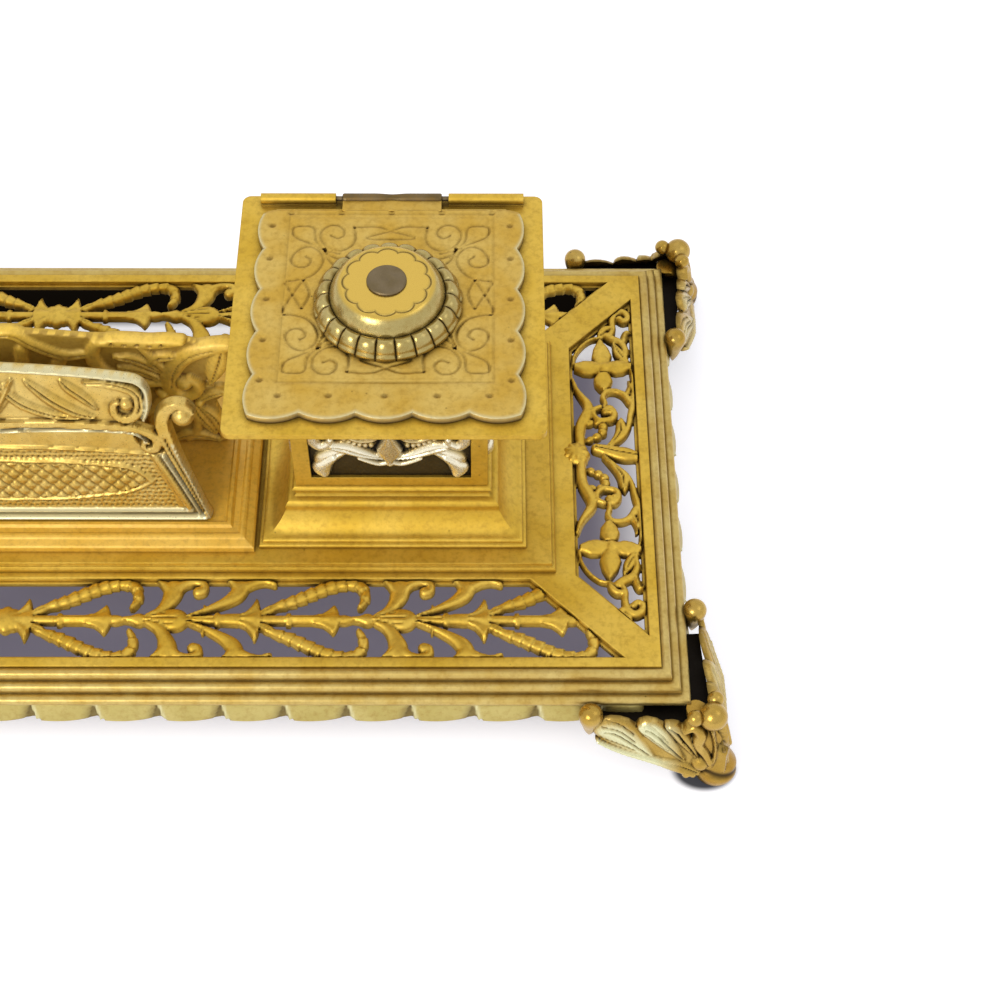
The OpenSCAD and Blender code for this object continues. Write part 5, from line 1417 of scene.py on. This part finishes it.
def basePlate(v, w):
    # the flat plate inside the reeds with its four windows, its top edges chamfered
    x, y = v["half"][0] - v["rim"], v["half"][1] - v["rim"]
    loops = [[(-x, -y), (x, -y), (x, y), (-x, y)]]
    outX, outY, inX, inY = (w[k] for k in ("outX", "outY", "inX", "inY"))
    farX, farY = outX - w["barHalf"], outY - w["barHalf"]
    nearX, nearY = farX - (outY - inY), farY - (outX - inX)
    for s in (1, -1):
        loops.append([(s * farX, -s * outY), (-s * farX, -s * outY), (-s * nearX, -s * inY), (s * nearX, -s * inY)])
        loops.append([(s * outX, s * farY), (s * outX, -s * farY), (s * inX, -s * nearY), (s * inX, s * nearY)])
    low, top, cut = v["plateLow"], v["topZ"], v["chamfer"]
    rings = [(0, low), (0, top - cut), (cut * 0.3, top - cut * 0.3), (cut, top)]
    points, quads = [], []
    faces = {top: [], low: []}  # the first point of each loop in the upper and the lower face
    for loop in loops:
        start = len(points)
        for by, z in rings:
            points += [(x, y, z) for x, y in insetLoop(loop, by)]
        quads.append(start + ringQuads(len(rings), 4)[:, [0, 3, 2, 1]])
        faces[low].append(start)
        faces[top].append(len(points) - 4)
    tris = []
    for z, starts in faces.items():
        index = [s + j for s in starts for j in range(4)]
        for t in tessellate_polygon([[Vector(points[s + j]) for j in range(4)] for s in starts]):
            a, b, c = (np.array(points[index[k]]) for k in t)
            up = np.cross(b - a, c - a)[2] > 0
            tris.append([index[k] for k in (t if up == (z == top) else t[::-1])])
    plate = makeMesh("basePlate", points, [np.array(tris), np.concatenate(quads)], finishes["cast_brass"],
                     "stand", 30)
    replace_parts(plate, "base_frame")


def baseFrame(v, w):
    valley = [0.35 if k in v["valleys"] else 0.0 for k in range(len(v["reeds"]))]
    mitredRing("baseReeds", v["half"], v["reeds"], v["span"], "base_frame", finishes["reeds"], valley)
    basePlate(v, w)
    for corner in ("front_left", "front_right", "back_left", "back_right"):
        x, y, _ = middleOf("foot_screw_" + corner)
        title = "".join(word.capitalize() for word in corner.split("_"))
        boss = turned("screwBoss" + title, v["boss"], (x, y, 0), finishes["cast_brass"], "stand",
                      around=32, sharp=40)
        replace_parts(boss, "base_frame")


def plinths(v):
    for side in ("left", "right"):
        low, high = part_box("plinth_" + side)
        x, y, _ = middleOf("plinth_" + side)
        half = (high.x - low.x) / 2 / mm
        mitredRing(side + "Plinth", (half, half), v["edge"], v["span"], "plinth_" + side, finishes["cast_brass"],
                   centre=(x, y, low.z / mm))


baseFrame(baseValues, windowValues)
plinths(plinthValues)
print("base frame and plinths are cast")


# Feet: two leaf wings that meet on the diagonal, a leg with a rolled toe, and ball ends.
# x runs from the corner of the lowest reed, minus along the side and plus past the corner.

footValues = {
    "step": 0.27, "edges": (-25.2, 8.4, 0, 22.4), "corner": (156.5, 65.4), "thick": 0.5,
    # how far the wing stands out at its top and at its lower edge, and how low it reaches, along x
    "topOut": [(-27, 3), (-24, 3), (-17, 3.2), (-5, 4), (0, 4.5), (8, 6.5)],
    "lowOut": (
        [(-27, 4.2), (-21, 4.6), (-15, 6), (-5, 8.6), (0, 9.4), (8, 11)],
        [(-27, 4.2), (-23, 4.8), (-19, 5.9), (-13, 7.8), (-8, 8.3), (0, 8.3), (8, 9.4)],
    ),
    "lowZ": [(-26, 11.6), (-21, 11.3), (-15, 9.8), (-6, 6.8), (0, 4.6), (4, 2.5), (8, 0)], "topZ": 20,
    "strokes": [
        ("flat", .8, [(-20, 14.4, 1.8), (-15, 12.8, 3.2), (-9, 12, 3.6), (-3, 11.4, 4.2), (3, 10.2, 4.6),
            (7, 9, 4.4)]),
        ("round", 1.1, [(-23.8, 17.8, .9), (-22, 16.6, 1.2), (-19.6, 15, 1.8)]),
        ("vein", 1.5, [(-21, 15.2, 1.2), (-19, 15.7, 3.4), (-16.6, 15, 4.5), (-13.6, 13, 3.6), (-11, 11.2, 2.2),
            (-8.6, 9.4, .7)]),
        ("round", 1.7, [(-21, 12.2, .6), (-18, 10.9, .9), (-14.6, 9.9, 1.1), (-10, 9, 1.3), (-5.8, 8, 1.4),
            (-2.6, 6.8, 1.3), (1, 5.2, .9)]),
        ("vein", 1.9, [(-11.6, 17.4, .8), (-10, 17.6, 2.4), (-8, 16.2, 2.8), (-5.8, 14, 2.3), (-3.6, 11.8, 1.5),
            (-1.4, 9.4, .6)]),
        ("vein", 1.9, [(-5.6, 18.6, .6), (-3.8, 17.6, 1.7), (-1.8, 15.2, 1.9), (0, 12.8, 1.4), (1.6, 10.4, .6)]),
        ("round", 2.3, [(-1.8, 18.2, .7), (.2, 19.4, 1.3), (1.8, 17.4, 1.7), (1.6, 14.4, 1.5), (3.2, 12, 1.2),
            (4.4, 9.6, .9)]),
        ("round", 1.6, [(4.2, 19.4, .5), (5.2, 15.4, .55), (5.4, 11, .6), (4.6, 8, .8)]),
        ("vein", 1.6, [(-7, 8.8, .5), (-4, 8.2, 1.2), (-1, 7.2, 1.4), (2, 5.8, .9)]),
    ],
    "balls": [(2.4, 8.6, 2.2, 2.2), (-.6, 5.4, 1.3, 1.8)],
    # scalloped leaf edges and hatching: depth, and how fast they wave along x and y
    "scallops": (0.12, 2.3, 2.1), "hatching": (0.1, 3.1, 1.7),
    "veins": [
        [(-20.2, 17.2), (-16.4, 16.4), (-12.6, 13.4)],
        [(-19.4, 19), (-16, 18), (-13, 15.4)],
        [(-20.2, 13.4), (-17, 12.6), (-12.6, 11)],
        [(-9.6, 19.2), (-7.6, 17.2), (-5.2, 14.4)],
        [(-10.2, 16), (-8.2, 14.2), (-5.2, 12.2)],
        [(-3.2, 17.4), (-1.4, 14.4)],
    ],
    # leg and toe on the diagonal: way out each way, height, radius
    "leg": [
        (1, 19.6, 2.2), (2.4, 18.2, 3.4), (3.8, 15, 3.6), (5, 11, 3.5), (5.6, 8, 3.6), (6, 6.4, 4.2),
        (6.4, 4.6, 4.9), (6.5, 3, 5.1), (6.5, 1.4, 4.8), (6.4, .4, 4.2), (6.4, 0, 3.6),
    ],
    # furrow of the toe: depth, height, slope, where it is highest in radians, half width
    "furrow": (0.45, 4.4, 1.6, 2.4, 0.8), "toeTop": 8,
    # along the wing, way out and height; the bead has its scale too, the knob stands on the diagonal
    "tips": ((-22.8, 3.1, 20.0), (-24.4, 2.2, 20.4)), "bead": (0.3, 5.2, 22.6, 0.58), "knob": (4.4, 22),
    "worn": (1.0, 0.35),  # how much of the rubbed metal and painted highlight each wing shows
    # the web that ties the wings to the frame, seen through the gap over the leaves, fully dark as painted shade
    "web": [(-7, 7), (-20, 7), (-20.4, -3.2), (-12, -3.8), (-5, -4.4), (0, -5.2), (3.4, -4)], "webZ": (13.4, 16.6),
    # ball end with its tail: radius, height from the middle of the ball
    "drop": [
        (.25, -8.6), (.7, -7.6), (1.3, -6), (1.75, -4.4), (2.1, -3), (2.5, -1.6), (2.75, 0), (2.6, 1), (2.1, 1.85),
        (1.3, 2.45), (.3, 2.75),
    ],
    "ball": [
        (.3, -3.28), (1.4, -2.95), (2.4, -2.2), (3.05, -1.2), (3.3, 0), (3.05, 1.2), (2.4, 2.2), (1.4, 2.95),
        (.3, 3.28),
    ],
}


def wingOut(v, wing, x, y):
    # the wing leans out below: its stand-off grows from its top edge to its lower one
    along = lambda stations: np.interp(x, *np.array(stations, float).T)
    t = np.clip((v["topZ"] - y) / (v["topZ"] - along(v["lowZ"])), 0, 1.2)
    top = along(v["topOut"])
    return top + (along(v["lowOut"][wing]) - top) * t ** (1.2 - 0.3 * wing)


def wingField(v):
    field = newField(*v["edges"], v["step"])
    for form, high, points in v["strokes"]:
        addStroke(field, points, high, form)
    for ball in v["balls"]:
        addBall(field, *ball)
    for line in v["veins"]:
        addStroke(field, [[x, y, .22] for x, y in line], 0.4, cut=True)
    gx, gy = np.meshgrid(field["x"], field["y"])
    # leaf edges a little scalloped, and the end past the corner cut off on the diagonal
    deep, alongX, alongY = v["scallops"]
    field["gap"] += deep * np.sin(gx * alongX) * np.sin(gy * alongY)
    field["gap"] = np.maximum(field["gap"], (gx - wingOut(v, 0, gx, gy) - 0.8) * 0.7)
    deep, alongX, alongY = v["hatching"]
    field["rise"] -= deep * np.abs(np.sin(gx * alongX + gy * alongY)) * (field["rise"] > 0.6) * (gx < -6)
    # silvery high points on the leaves: rubbed metal and painted highlight
    field["rub"] = np.clip((field["rise"] - 0.9) / 0.5, 0, 1) * np.clip((-gx - 2) / 6, 0, 1)
    field["bare"] = 0.5 * np.clip(1 - field["rise"] / 0.9, 0, 1)
    return field


def makeFoot(v, field, end, side, sx, sy):
    node = f"foot_{end}_{side}"
    title = end + side.capitalize() + "Foot"
    cx, cy = v["corner"]
    slot, material = "pale_brass", finishes["foot"]

    def spot(wing, x, out):  # a place in plan: the long wing runs along x, the short one along y
        a, b = (out, x) if wing else (x, out)
        return sx * (cx + a), sy * (cy + b)

    def addEnd(name, profile, centre, around):
        piece = turned(title + name, profile, centre, material, "stand", around=around, sharp=0)
        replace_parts(piece, node)

    for k, wing in enumerate(("Long", "Short")):
        worn = dict(field, rub=field["rub"] * v["worn"][k])
        piece = castRelief(f"{title}{wing}Wing", worn, lambda x, y, h: (*spot(k, x, wingOut(v, k, x, y) + h), y),
                           v["thick"], material, "stand", flip=(sx * sy > 0) == (k == 0), dirt=1.2, sharp=55)
        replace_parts(piece, node)
        x, out, z = v["tips"][k]
        addEnd(wing + "Tip", smoothProfile(v["drop"]), (*spot(k, x, out), z), 40)
        x, out, z, scale = v["bead"]
        addEnd(wing + "Bead", scale * smoothProfile(v["ball"]), (*spot(k, x, out), z), 32)
    out, z = v["knob"]
    addEnd("Knob", smoothProfile(v["ball"]), (*spot(0, out, out), z), 48)
    web = [(x, -y) for x, y in v["web"]]
    web += [(b, a) for a, b in web[:0:-1]]
    m = len(web)
    ring = np.arange(m)
    faces = [ringQuads(2, m)[:, [0, 3, 2, 1]], ring[::-1][None], ring[None] + m]
    if sx * sy > 0:
        faces = [f[:, ::-1] for f in faces]
    points = [(*spot(0, a, b), z) for z in v["webZ"] for a, b in web]
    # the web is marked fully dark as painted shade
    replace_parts(makeMesh(f"{title}ShadedWeb", points, faces, material, "stand", 30, np.ones(2 * m)), node)
    # leg: rings about the diagonal, with the furrow of a rolled leaf end round the toe
    leg = smoothLine(v["leg"], 5)
    way, z, radius = leg[:, :1], leg[:, 1:2], leg[:, 2:3]
    around = 56
    angle = np.arange(around) * 2 * math.pi / around
    deep, middle, slope, turn, half = v["furrow"]
    furrow = deep * np.exp(-((z - middle - slope * np.cos(angle - turn)) / half) ** 2)
    radius = radius - furrow * (z < v["toeTop"])
    points = np.stack([sx * (cx + way + radius * np.cos(angle)), sy * (cy + way + radius * np.sin(angle)),
                       np.repeat(z, around, 1)], -1)
    faces = tubeFaces(len(leg), around)
    if sx * sy < 0:
        faces = [f[:, ::-1] for f in faces]
    # painted shade: the leg darkened towards the floor; the toe's furrow marked as dirt
    low = np.clip((2.2 - z) / 1.4, 0, 1) * 0.9
    marks = np.maximum(np.repeat(low, around, 1), 2 * furrow)
    piece = makeMesh(f"{title}Leg", points, faces, finishes["toe"], "stand", 50, marks)
    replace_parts(piece, node)


sharedWing = wingField(footValues)
for side, sx in (("left", -1), ("right", 1)):
    for end, sy in (("front", -1), ("back", 1)):
        makeFoot(footValues, sharedWing, end, side, sx, sy)
print("feet are cast")
